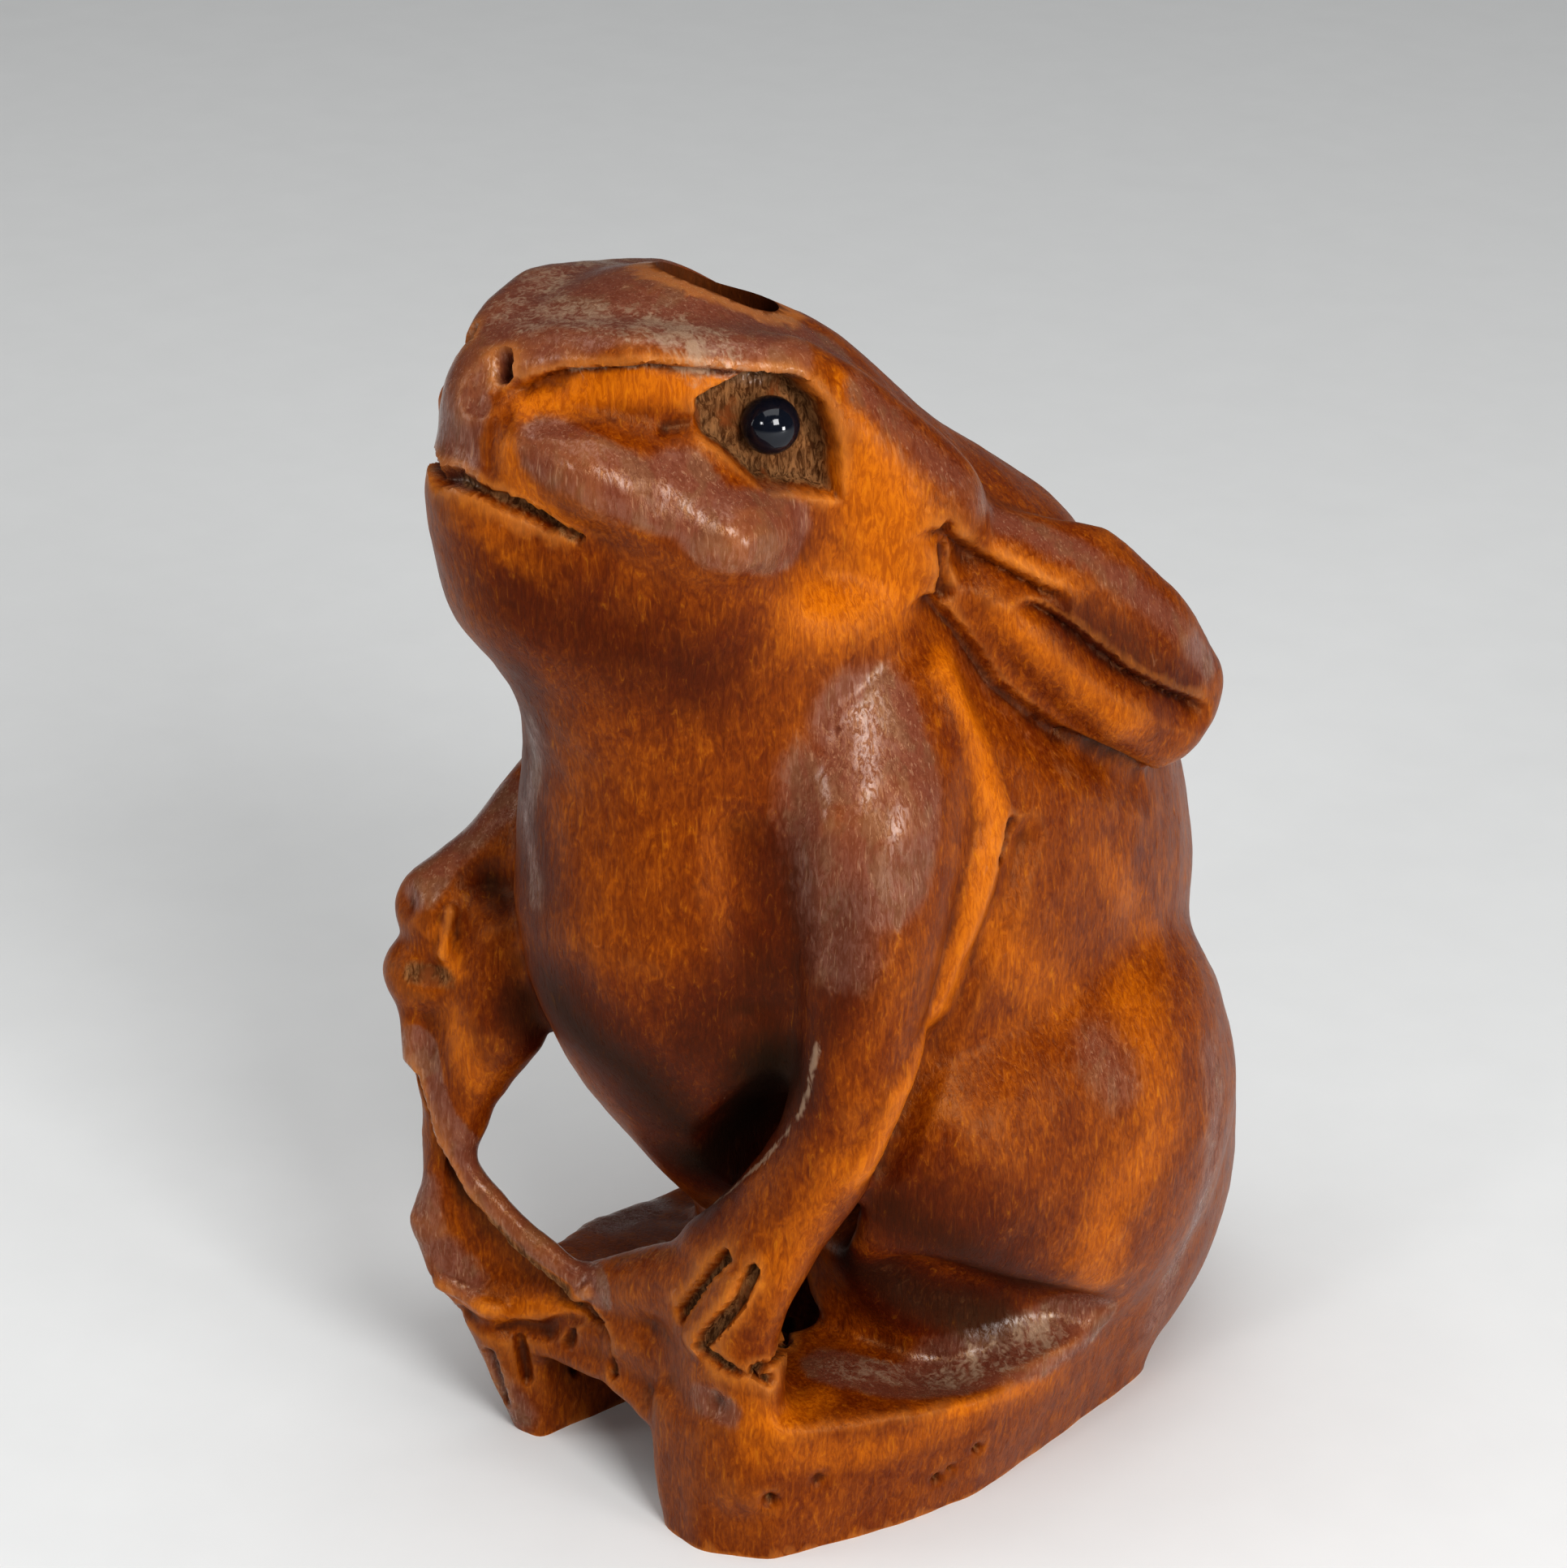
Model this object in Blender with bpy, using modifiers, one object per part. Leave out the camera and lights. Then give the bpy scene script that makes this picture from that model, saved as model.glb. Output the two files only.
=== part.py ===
"""Ojime bead: a seated hare carved from one piece of boxwood, with inlaid black eyes.

The animal sits upright and faces -Y. Its left side is at +X, and its feet stand on Z = 0.
The carving is laid up as overlapping masses, fused and smoothed into one skin, and then cut.
Places on the figure are in carver's units: one unit is one millimetre on a bead 28.4 mm high.
"""
import math

import bmesh
import bpy
import numpy as np
from mathutils import Matrix, Vector

# Driving dimensions, in metres
HEIGHT = 0.0284
CORD_HOLE_DIAMETER = 0.0024
EYE_DIAMETER = 0.0012
EYE_CLEARANCE = 0.00006

# The figure's own scale and fineness
UNITS_HIGH = 28.4
UNIT = HEIGHT / UNITS_HIGH
GRAIN = 0.2
FACE_COUNT = 8650

# How the head is set on the neck
HEAD_PIVOT = (0.0, -5.5, 25.0)
HEAD_TURN = math.radians(-12)

# Where the eyes sit, measured in the head: forward, aside, up
EYE_PLACE = (0.1, 3.0, 0.9)

# The cord hole's axis runs from the crown, measured in the head, to a point under the belly
CROWN_HOLE = (-0.3, 0.0, 2.6)
UNDER_HOLE = (0.0, -2.0, 3.0)
CORD_HOLE_SIDES = 32

# How the ears lie, in degrees
EAR_LIE = -43
EAR_LEAN = 4

# How far the feet's inner faces stand from the middle plane
LEFT_ARCH = 1.0
RIGHT_ARCH = 2.7

# The leaf's rolled rim and sheet, as ball radii
LEAF_ROLL = 0.33
LEAF_SHEET = 0.32

COLLECTION = "ojime_bead"


def units(x, y, z):
    return Vector((x, y, z)) * UNIT


def head_matrix():
    turn = Matrix.Rotation(HEAD_TURN, 4, "Z")
    swap = Matrix(((0, 1, 0, 0), (-1, 0, 0, 0), (0, 0, 1, 0), (0, 0, 0, 1)))
    return Matrix.Translation(units(*HEAD_PIVOT)) @ turn @ swap


def in_head(forward, aside, up):
    return head_matrix() @ units(forward, aside, up)


def turned(x=0.0, y=0.0, z=0.0):
    angles = [math.radians(angle) for angle in (x, y, z)]
    return (
        Matrix.Rotation(angles[2], 4, "Z")
        @ Matrix.Rotation(angles[1], 4, "Y")
        @ Matrix.Rotation(angles[0], 4, "X")
    )


class Carving:
    """Shallow work on a fused skin, done by moving its vertices."""

    def __init__(self, thing):
        self.mesh = thing.data
        count = len(self.mesh.vertices)
        self.places = np.empty(count * 3)
        self.mesh.vertices.foreach_get("co", self.places)
        self.places = self.places.reshape(count, 3)
        self.normals = np.empty(count * 3)
        self.mesh.vertices.foreach_get("normal", self.normals)
        self.normals = self.normals.reshape(count, 3)

    def distance(self, route):
        """How far each vertex is from a route of straight runs."""
        nearest = np.full(len(self.places), np.inf)
        for first, second in zip(route, route[1:] or route):
            start = np.array(first)
            run = np.array(second) - start
            length = max(float(run @ run), 1e-18)
            share = np.clip((self.places - start) @ run / length, 0.0, 1.0)
            gap = np.linalg.norm(self.places - start - share[:, None] * run, axis=1)
            nearest = np.minimum(nearest, gap)
        return nearest

    def groove(self, route, width, depth, sharpness=1.0):
        """Sink a rounded groove along a route. A negative depth raises a ridge."""
        share = 1.0 - (self.distance(route) / (width * UNIT / 2)) ** 2
        profile = np.clip(share, 0.0, None) ** sharpness
        self.places -= self.normals * (profile * depth * UNIT)[:, None]

    def finish(self):
        self.mesh.vertices.foreach_set("co", self.places.ravel())
        self.mesh.update()


class Clay:
    """Closed masses gathered in one mesh, before they are fused."""

    def __init__(self):
        self.mesh = bmesh.new()

    def add_hull(self, stations, frame=None):
        """Wrap a run of ellipsoids, each with a centre, radii and an optional turn."""
        space = frame or Matrix.Identity(4)
        for first, second in zip(stations, stations[1:] or stations):
            part = bmesh.new()
            for station in (first, second):
                centre, radii = station[0], station[1]
                turn = station[2] if len(station) > 2 else Matrix.Identity(4)
                scale = Matrix.Diagonal((*[radius * UNIT for radius in radii], 1.0))
                place = space @ Matrix.Translation(units(*centre)) @ turn @ scale
                bmesh.ops.create_icosphere(part, subdivisions=3, radius=1.0, matrix=place)
            wrap(part)
            self.take(part)

    def add_blocks(self, sections):
        """Wrap each pair of neighbouring sections, which are rings of corner points."""
        for first, second in zip(sections, sections[1:]):
            part = bmesh.new()
            for corner in (*first, *second):
                part.verts.new(units(*corner))
            wrap(part)
            self.take(part)

    def take(self, part):
        mesh = bpy.data.meshes.new("mass")
        part.to_mesh(mesh)
        part.free()
        self.mesh.from_mesh(mesh)
        bpy.data.meshes.remove(mesh)

    def to_object(self, name, collection):
        mesh = bpy.data.meshes.new(name)
        self.mesh.to_mesh(mesh)
        self.mesh.free()
        thing = bpy.data.objects.new(name, mesh)
        collection.objects.link(thing)
        return thing


def wrap(part):
    """Replace a set of points by their convex hull."""
    faces = part.faces[:]
    if faces:
        bmesh.ops.delete(part, geom=faces, context="FACES_ONLY")
    bmesh.ops.convex_hull(part, input=part.verts[:])
    loose = [edge for edge in part.edges if not edge.link_faces]
    bmesh.ops.delete(part, geom=loose, context="EDGES")
    inner = [vert for vert in part.verts if not vert.link_faces]
    bmesh.ops.delete(part, geom=inner, context="VERTS")
    bmesh.ops.recalc_face_normals(part, faces=part.faces[:])


def both_sides(stations, flip=(-1, 1, 1)):
    """The same run of ellipsoids on the animal's right."""
    mirrored = []
    for centre, radii in stations:
        other = tuple(value * sign for value, sign in zip(centre, flip))
        mirrored.append((other, radii))
    return stations, mirrored


def settled(thing, modifiers):
    """Apply the modifiers given as (type, settings) pairs."""
    for kind, settings in modifiers:
        modifier = thing.modifiers.new(kind.title(), kind)
        for name, value in settings.items():
            setattr(modifier, name, value)
    depsgraph = bpy.context.evaluated_depsgraph_get()
    mesh = bpy.data.meshes.new_from_object(thing.evaluated_get(depsgraph))
    old = thing.data
    thing.modifiers.clear()
    thing.data = mesh
    bpy.data.meshes.remove(old)
    return thing


def fused(thing, grain, passes):
    steps = [("REMESH", {"mode": "VOXEL", "voxel_size": grain * UNIT})]
    if passes:
        steps.append(("SMOOTH", {"factor": 0.5, "iterations": passes}))
    return settled(thing, steps)


# Masses of the body

TRUNK = (
    # height, front, back, half width
    (6.5, -5.9, 2.0, 1.3),
    (7.6, -6.8, 5.0, 3.0),
    (9.0, -7.8, 6.8, 4.5),
    (10.6, -8.8, 7.6, 5.2),
    (12.4, -9.6, 7.8, 5.5),
    (14.4, -9.9, 7.3, 5.6),
    (16.4, -9.7, 6.6, 5.4),
    (18.2, -9.6, 5.6, 4.9),
    (20.0, -10.0, 4.4, 4.5),
    (21.8, -10.6, 2.6, 4.2),
)


def trunk(clay):
    stations = []
    for height, front, back, half_width in TRUNK:
        middle = (front + back) / 2
        reach = (back - front) / 2
        stations.append(((0, middle, height), (half_width, reach, 1.1)))
    clay.add_hull(stations)


def rump(clay):
    clay.add_hull([((0, 2.3, 5.0), (5.6, 6.9, 7.4))])
    haunch = [((3.0, 1.2, 7.4), (3.7, 5.7, 6.0)), ((3.5, -2.0, 8.3), (3.0, 3.4, 4.0))]
    for side in both_sides(haunch):
        clay.add_hull(side)


def head(clay):
    frame = head_matrix()
    clay.add_hull(
        [
            ((-0.9, 0, -0.9), (3.2, 3.6, 3.15)),
            ((1.2, 0, 0.7), (2.8, 3.2, 2.8)),
            ((3.95, 0, 1.05), (1.9, 1.75, 1.85)),
        ],
        frame,
    )
    clay.add_hull(
        [
            ((4.8, 0, -0.6), (1.5, 1.7, 1.3)),
            ((3.9, 0, -2.6), (2.0, 2.4, 2.0)),
            ((1.5, 0, -4.6), (2.8, 3.4, 2.4)),
        ],
        frame,
    )
    clay.add_hull(
        [
            ((-0.9, 0, -0.9), (3.2, 3.6, 3.15)),
            ((-3.4, 0, -2.9), (2.8, 3.6, 2.85)),
            ((-6.6, -0.4, -4.95), (2.6, 3.6, 2.6)),
        ],
        frame,
    )
    cheek = [
        ((4.55, 1.2, 0.8), (0.95, 0.95, 1.0)),
        ((3.6, 2.3, 0.2), (1.2, 1.15, 1.0)),
        ((1.3, 3.2, -1.1), (1.5, 1.3, 1.1)),
    ]
    brow = [
        ((4.2, 0.85, 2.35), (0.75, 0.75, 0.65)),
        ((2.6, 2.1, 2.5), (0.9, 0.9, 0.7)),
        ((-0.3, 2.8, 1.9), (0.9, 0.9, 0.8)),
        ((-1.6, 2.7, 0.6), (1.1, 1.2, 1.2)),
        ((-3.4, 2.8, -1.8), (1.6, 1.4, 1.8)),
    ]
    jaw = [((3.6, 1.5, -1.4), (1.2, 1.2, 0.9)), ((1.0, 2.4, -2.6), (2.2, 1.7, 1.7))]
    for run in (cheek, brow, jaw):
        for side in both_sides(run, flip=(1, -1, 1)):
            clay.add_hull(side, frame)


def near_foreleg(clay):
    clay.add_hull(
        [
            ((3.2, -3.6, 18.6), (1.8, 2.6, 2.6)),
            ((4.3, -4.5, 16.8), (1.5, 2.2, 2.4)),
            ((4.8, -5.2, 14.2), (1.3, 1.6, 2.0)),
            ((4.9, -5.6, 11.6), (1.1, 1.25, 1.6)),
            ((4.4, -6.0, 9.7), (1.1, 1.1, 1.4)),
            ((3.6, -6.6, 8.0), (1.2, 1.0, 1.2)),
            ((2.8, -7.2, 6.6), (1.7, 0.9, 1.2)),
            ((2.5, -7.4, 5.2), (1.7, 0.9, 1.0)),
        ]
    )


def far_foreleg(clay):
    """The right foreleg: a bent elbow over a fist, and the wrist below that holds the leaf."""
    clay.add_hull(
        [
            ((-3.6, -4.6, 16.2), (1.6, 2.2, 2.0)),
            ((-4.4, -7.4, 13.7), (1.3, 1.7, 1.4)),
            ((-5.1, -9.1, 13.0), (1.0, 1.0, 1.05)),
        ]
    )
    fist = [((-4.4, -8.4, 12.2), (1.2, 1.2, 1.2)), ((-5.2, -9.5, 11.5), (0.95, 0.95, 0.95))]
    clay.add_hull(fist)
    clay.add_hull(
        [
            ((-3.8, -8.2, 12.6), (1.1, 1.1, 1.2)),
            ((-3.8, -8.6, 10.6), (1.35, 1.15, 1.2)),
            ((-4.2, -9.1, 9.2), (0.8, 0.8, 1.2)),
            ((-4.5, -9.5, 7.4), (0.6, 0.6, 1.0)),
            ((-4.6, -9.5, 5.6), (0.7, 0.7, 1.0)),
        ]
    )


def foot(clay, side, arch):
    """A long hind foot: a slab whose outer side leans out to a rim, and whose toe is rounded."""
    sections = []
    for y, inner, sole, floor, rim, top in (
        (-8.5, 1.4, 2.1, 3.0, 3.1, 3.0),
        (-7.5, 1.1, 1.3, 4.3, 4.7, 3.5),
        (-4.6, 1.6, 1.6, 5.0, 5.6, 3.2),
        (-2.4, 1.8, 1.8, 5.2, 5.9, 2.9),
        (0.9, 1.8, 1.8, 4.6, 5.6, 3.1),
        (4.4, 1.4, 1.4, 3.9, 4.8, 3.7),
    ):
        inner = max(inner, arch)
        sole = max(sole, arch)
        outer_side = [(floor, -1), (floor, 0.2), (rim, top)]
        inner_side = [(inner, top + 0.3), (inner, 1.5), (sole, -1)]
        sections.append([(side * across, y, up) for across, up in outer_side + inner_side])
    clay.add_blocks(sections)


def ear(clay, side):
    """A long ear laid back along the shoulder."""
    laid_back = turned(x=EAR_LIE) @ turned(z=side * EAR_LEAN)
    stations = []
    for (x, y, z), radii in (
        ((3.6, -1.8, 22.2), (0.9, 1.1, 1.2)),
        ((4.6, 0.5, 20.8), (0.9, 1.2, 1.8)),
        ((5.0, 2.3, 18.9), (0.9, 1.2, 1.85)),
        ((4.9, 3.6, 17.6), (0.8, 1.0, 1.5)),
    ):
        stations.append(((side * x, y, z), radii, laid_back))
    clay.add_hull(stations)


LEAF_RIM = (
    (-5.0, -10.0, 10.6),
    (-4.9, -10.0, 9.0),
    (-4.5, -9.6, 7.6),
    (-3.8, -9.2, 6.5),
    (-2.9, -8.8, 5.7),
    (-2.0, -8.4, 5.1),
    (-1.0, -8.0, 4.5),
    (0.2, -7.8, 3.9),
    (1.4, -7.6, 3.4),
)
LEAF_HEM = (
    (-5.0, -9.4, 8.0),
    (-5.0, -9.6, 6.4),
    (-5.0, -10.0, 5.4),
    (-4.6, -9.7, 4.0),
    (-3.9, -9.1, 2.9),
    (-2.9, -8.5, 2.6),
    (-1.8, -8.2, 2.6),
    (-0.4, -8.1, 2.7),
    (1.0, -8.1, 2.4),
)


def leaf(clay):
    """A curled leaf: a thick sheet between its rolled rim and its lobed hem."""
    clay.add_hull([(point, (LEAF_ROLL,) * 3) for point in LEAF_RIM])
    for first in range(len(LEAF_RIM) - 1):
        corners = []
        for index in (first, first + 1):
            upper, lower = Vector(LEAF_RIM[index]), Vector(LEAF_HEM[index])
            dish = upper.lerp(lower, 0.5) + Vector((0.25, 0.55, 0))
            corners.append((upper, dish, lower))
        for row in range(2):
            block = []
            for column in corners:
                for point in (column[row], column[row + 1]):
                    block.append((tuple(point), (LEAF_SHEET,) * 3))
            quad_hull(clay, block)


def quad_hull(clay, stations):
    """Wrap four small balls at once, as one panel of a sheet."""
    part = bmesh.new()
    for centre, radii in stations:
        scale = Matrix.Diagonal((*[radius * UNIT for radius in radii], 1.0))
        place = Matrix.Translation(units(*centre)) @ scale
        bmesh.ops.create_icosphere(part, subdivisions=2, radius=1.0, matrix=place)
    wrap(part)
    clay.take(part)


def toe_bridge(clay):
    """The mass where leaf, hands and toes meet in front."""
    clay.add_hull([((2.6, -7.0, 4.4), (1.4, 1.0, 1.2)), ((0.4, -7.4, 3.6), (1.2, 0.8, 0.9))])
    clay.add_hull([((0.4, -7.5, 3.9), (1.0, 0.8, 0.7)), ((-3.2, -8.0, 3.6), (1.0, 0.9, 1.0))])
    clay.add_hull([((2.0, -7.4, 6.0), (1.2, 0.8, 1.0)), ((-0.8, -7.8, 4.8), (0.8, 0.6, 0.6))])
    clay.add_hull([((2.9, -7.4, 4.6), (1.5, 0.9, 1.0)), ((3.0, -7.5, 2.0), (1.5, 0.95, 1.4))])
    clay.add_hull([((-3.8, -8.9, 3.2), (0.8, 0.7, 0.8)), ((-3.4, -8.1, 0.4), (0.6, 0.6, 0.9))])


# Shallow carving

def carve_face(carving, side):
    def route(*points):
        return [in_head(forward, side * aside, up) for forward, aside, up in points]

    mouth = route((6.2, 0, -0.1), (5.6, 1.2, -0.25), (5.0, 1.9, -0.5), (4.1, 2.4, -1.0))
    carving.groove(mouth, 0.7, 0.45)
    channel = route((4.8, 1.4, 1.8), (3.8, 2.2, 1.7), (2.6, 2.9, 1.7))
    carving.groove(channel, 1.2, 0.4)
    carving.groove(route((4.9, 1.0, 2.3), (5.0, 1.05, 2.1)), 0.7, 0.4)
    carving.groove(route((5.5, 0.7, 2.0), (5.4, 1.1, 1.7)), 0.7, 0.15)
    carving.groove(route((5.2, 1.7, 1.9), (5.7, 1.6, 1.2), (5.6, 1.8, 0.6)), 0.5, 0.15)
    under_cheek = route((4.2, 2.9, -1.0), (2.4, 3.9, -1.7), (0.8, 4.3, -2.2), (-0.8, 4.0, -1.4))
    carving.groove(under_cheek, 1.2, 0.15)
    brow = route((4.9, 1.6, 2.4), (2.7, 2.7, 2.6), (0.0, 3.3, 2.3), (-1.0, 3.7, 0.9))
    carving.groove(brow, 0.6, -0.15)


def carve_ear(carving, side):
    def route(*points):
        return [units(side * x, y, z) for x, y, z in points]

    carving.groove(route((4.4, -2.2, 22.6), (5.4, 0.2, 21.6), (5.8, 1.6, 20.8)), 0.6, 0.35)
    carving.groove(route((5.6, 0.8, 20.6), (5.9, 2.6, 19.0), (5.8, 4.2, 17.6)), 0.7, 0.4)
    carving.groove(route((4.6, -2.0, 21.2), (5.2, 0.0, 19.4), (5.4, 2.0, 17.9)), 0.8, 0.35)


def carve_body(carving):
    """The folds that part the near foreleg from chest and flank, and the fingers' slots."""

    def route(*points):
        return [units(*point) for point in points]

    back_edge = route((4.9, -2.9, 18.8), (5.4, -2.1, 16.6), (5.5, -3.9, 12.9), (5.5, -5.4, 10.4))
    carving.groove(back_edge, 1.5, -0.15, 2.0)
    fold = route((5.4, -1.5, 16.4), (5.5, -2.7, 13.8), (5.5, -3.7, 12.0), (5.5, -5.0, 9.8))
    carving.groove(fold, 1.3, 0.35, 2.0)
    valley = route((3.4, -7.8, 17.2), (3.6, -7.7, 15.0), (3.6, -7.6, 13.2))
    carving.groove(valley, 2.2, 0.28, 2.0)
    for slot in (
        route((3.3, -7.9, 7.4), (2.2, -8.2, 5.8)),
        route((4.1, -7.6, 7.2), (3.7, -7.9, 6.2), (2.9, -8.2, 4.9)),
        route((4.5, -6.9, 5.8), (4.0, -7.3, 4.7)),
        route((2.9, -8.2, 4.8), (3.5, -7.8, 4.5), (4.0, -7.2, 4.5)),
    ):
        carving.groove(slot, 0.7, 0.4)
    for vein in (
        route((-0.4, -8.4, 3.9), (-0.2, -8.3, 3.0)),
        route((-3.9, -9.8, 6.2), (-3.2, -9.0, 4.4), (-2.0, -8.6, 3.6)),
    ):
        carving.groove(vein, 0.8, 0.3)


# Cutters

def hollows(clay):
    """The space under the belly, open between the feet and on both sides."""
    clay.add_hull([((0, -7.2, 2.4), (1.5, 3.0, 4.6)), ((0, -2.0, 2.6), (1.8, 2.4, 3.8))])
    clay.add_hull(
        [
            ((0.4, -6.4, 7.2), (2.4, 2.6, 2.8)),
            ((-3.0, -5.4, 6.0), (1.8, 2.2, 2.6)),
            ((-6.5, -3.4, 5.4), (1.5, 2.4, 2.2)),
        ]
    )
    clay.add_hull([((1.0, -5.6, 7.4), (1.8, 1.8, 2.3)), ((2.8, -4.9, 7.6), (1.0, 1.4, 1.6))])


def near_recess(clay):
    """The rough hollow between the left haunch and the foot."""
    clay.add_hull(
        [
            ((5.4, -4.4, 5.4), (1.6, 1.3, 2.0)),
            ((6.0, -1.2, 4.7), (1.7, 2.0, 1.7)),
            ((6.4, 1.6, 3.9), (1.5, 1.6, 1.2)),
        ]
    )


def belly_shadow(clay):
    """The deep hollow between the belly's tip and the left foreleg."""
    clay.add_hull(
        [
            ((4.2, -7.2, 11.6), (1.1, 1.3, 1.4)),
            ((3.2, -6.8, 9.6), (1.5, 1.7, 1.6)),
            ((2.9, -4.8, 8.2), (1.5, 1.7, 1.8)),
        ]
    )


SOCKET = (
    # forward, aside at the floor, up
    (2.8, 2.3, 1.5),
    (0.6, 2.6, 2.15),
    (-0.3, 2.7, 2.15),
    (-1.0, 2.8, 0.9),
    (-1.1, 2.9, -0.4),
    (0.4, 3.1, -0.5),
    (1.7, 2.9, 0.1),
)


def eye_sockets(clay):
    """A shallow pit of seven sides around each eye."""
    for side in (1, -1):
        part = bmesh.new()
        for forward, aside, up in SOCKET:
            part.verts.new(in_head(forward, side * aside, up))
            part.verts.new(in_head(forward + 0.3, side * (aside + 3.0), up + 0.3))
        wrap(part)
        clay.take(part)


def eye_centre(side):
    forward, aside, up = EYE_PLACE
    return in_head(forward, side * aside, up)


def eyeball(name, side, radius, collection):
    mesh = bpy.data.meshes.new(name)
    ball = bmesh.new()
    bmesh.ops.create_icosphere(ball, subdivisions=3, radius=radius)
    ball.to_mesh(mesh)
    ball.free()
    thing = bpy.data.objects.new(name, mesh)
    thing.location = eye_centre(side)
    collection.objects.link(thing)
    return thing


def flat_cutter(name, collection):
    """A block whose top face is the surface that the bead stands on."""
    side = 2 * HEIGHT
    mesh = bpy.data.meshes.new(name)
    box = bmesh.new()
    below = Matrix.Translation((0, 0, -side / 2))
    bmesh.ops.create_cube(box, size=side, matrix=below)
    box.to_mesh(mesh)
    box.free()
    thing = bpy.data.objects.new(name, mesh)
    collection.objects.link(thing)
    return thing


def cord_hole(name, collection):
    bpy.ops.mesh.primitive_cylinder_add(
        vertices=CORD_HOLE_SIDES, radius=CORD_HOLE_DIAMETER / 2, depth=1.4 * HEIGHT
    )
    thing = bpy.context.active_object
    thing.name = name
    for other in thing.users_collection:
        other.objects.unlink(thing)
    collection.objects.link(thing)
    top = in_head(*CROWN_HOLE)
    bottom = units(*UNDER_HOLE)
    thing.location = (top + bottom) / 2
    thing.rotation_euler = (top - bottom).to_track_quat("Z", "Y").to_euler()
    return thing


def cut(thing, cutter):
    cutter.hide_render = True
    cutter.display_type = "WIRE"
    return settled(thing, [("BOOLEAN", {"operation": "DIFFERENCE", "object": cutter})])


def coloured(name, colour, roughness):
    material = bpy.data.materials.new(name)
    material.use_nodes = True
    shader = material.node_tree.nodes["Principled BSDF"]
    shader.inputs["Base Color"].default_value = (*colour, 1.0)
    shader.inputs["Roughness"].default_value = roughness
    shader.inputs["Metallic"].default_value = 0.0
    return material


def corners(things):
    """The lowest and highest corner of several objects, in world space."""
    places = [thing.matrix_world @ vert.co for thing in things for vert in thing.data.vertices]
    low = Vector([min(place[axis] for place in places) for axis in range(3)])
    high = Vector([max(place[axis] for place in places) for axis in range(3)])
    return low, high


def stand_over_origin(things):
    """Bring the middle of the figure's footprint over the origin, without lifting it."""
    bpy.context.view_layer.update()
    low, high = corners(things)
    shift = -(low + high) / 2
    shift.z = 0.0
    for thing in things:
        thing.location += shift


def clear_scene():
    for thing in list(bpy.data.objects):
        bpy.data.objects.remove(thing, do_unlink=True)


def main():
    clear_scene()
    parts = bpy.data.collections.new(COLLECTION)
    cutters = bpy.data.collections.new("cutters")
    bpy.context.scene.collection.children.link(parts)
    bpy.context.scene.collection.children.link(cutters)

    seat = Clay()
    rump(seat)
    base = fused(seat.to_object("seat", parts), GRAIN, 0)
    hollow = Clay()
    hollows(hollow)
    near_recess(hollow)
    cut(base, fused(hollow.to_object("hollow_cutter", cutters), GRAIN, 2))

    clay = Clay()
    clay.mesh.from_mesh(base.data)
    bpy.data.objects.remove(base, do_unlink=True)
    trunk(clay)
    head(clay)
    body = fused(clay.to_object("body", parts), GRAIN, 24)
    shadow = Clay()
    belly_shadow(shadow)
    cut(body, fused(shadow.to_object("shadow_cutter", cutters), GRAIN, 2))

    limbs = Clay()
    limbs.mesh.from_mesh(body.data)
    bpy.data.objects.remove(body, do_unlink=True)
    near_foreleg(limbs)
    far_foreleg(limbs)
    foot(limbs, 1, LEFT_ARCH)
    foot(limbs, -1, RIGHT_ARCH)
    ear(limbs, 1)
    ear(limbs, -1)
    toe_bridge(limbs)
    leaf(limbs)
    figure = fused(limbs.to_object("carved_hare", parts), GRAIN, 3)

    sockets = Clay()
    eye_sockets(sockets)
    cut(figure, sockets.to_object("socket_cutter", cutters))
    fused(figure, GRAIN, 2)

    carving = Carving(figure)
    for side in (1, -1):
        carve_face(carving, side)
        carve_ear(carving, side)
    carve_body(carving)
    carving.finish()

    share = FACE_COUNT / (2 * len(figure.data.polygons))
    settled(figure, [("DECIMATE", {"ratio": share, "use_collapse_triangulate": True})])
    cut(figure, cord_hole("cord_hole_cutter", cutters))
    cut(figure, flat_cutter("floor_cutter", cutters))
    eyes = []
    for side, word in ((1, "left"), (-1, "right")):
        seat_radius = EYE_DIAMETER / 2 + EYE_CLEARANCE
        cut(figure, eyeball(f"{word}_seat_cutter", side, seat_radius, cutters))
        eyes.append(eyeball(f"eye_{word}", side, EYE_DIAMETER / 2, parts))

    figure.data.materials.clear()
    figure.data.materials.append(coloured("boxwood", (0.36, 0.13, 0.03), 0.38))
    for eye in eyes:
        eye.data.materials.append(coloured(f"{eye.name}_horn", (0.01, 0.01, 0.012), 0.12))
    stand_over_origin([figure, *eyes])


main()
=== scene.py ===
"""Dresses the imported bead: the carved figure with its fine relief, its inlaid eyes and the stage.

Places on the figure are in carver's units of one millimetre, in the figure's own frame, which
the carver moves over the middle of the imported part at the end.
"""

import math

import bmesh
import bpy
import numpy as np
from mathutils import Matrix, Vector, noise
from mathutils.bvhtree import BVHTree
from mathutils.kdtree import KDTree


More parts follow.
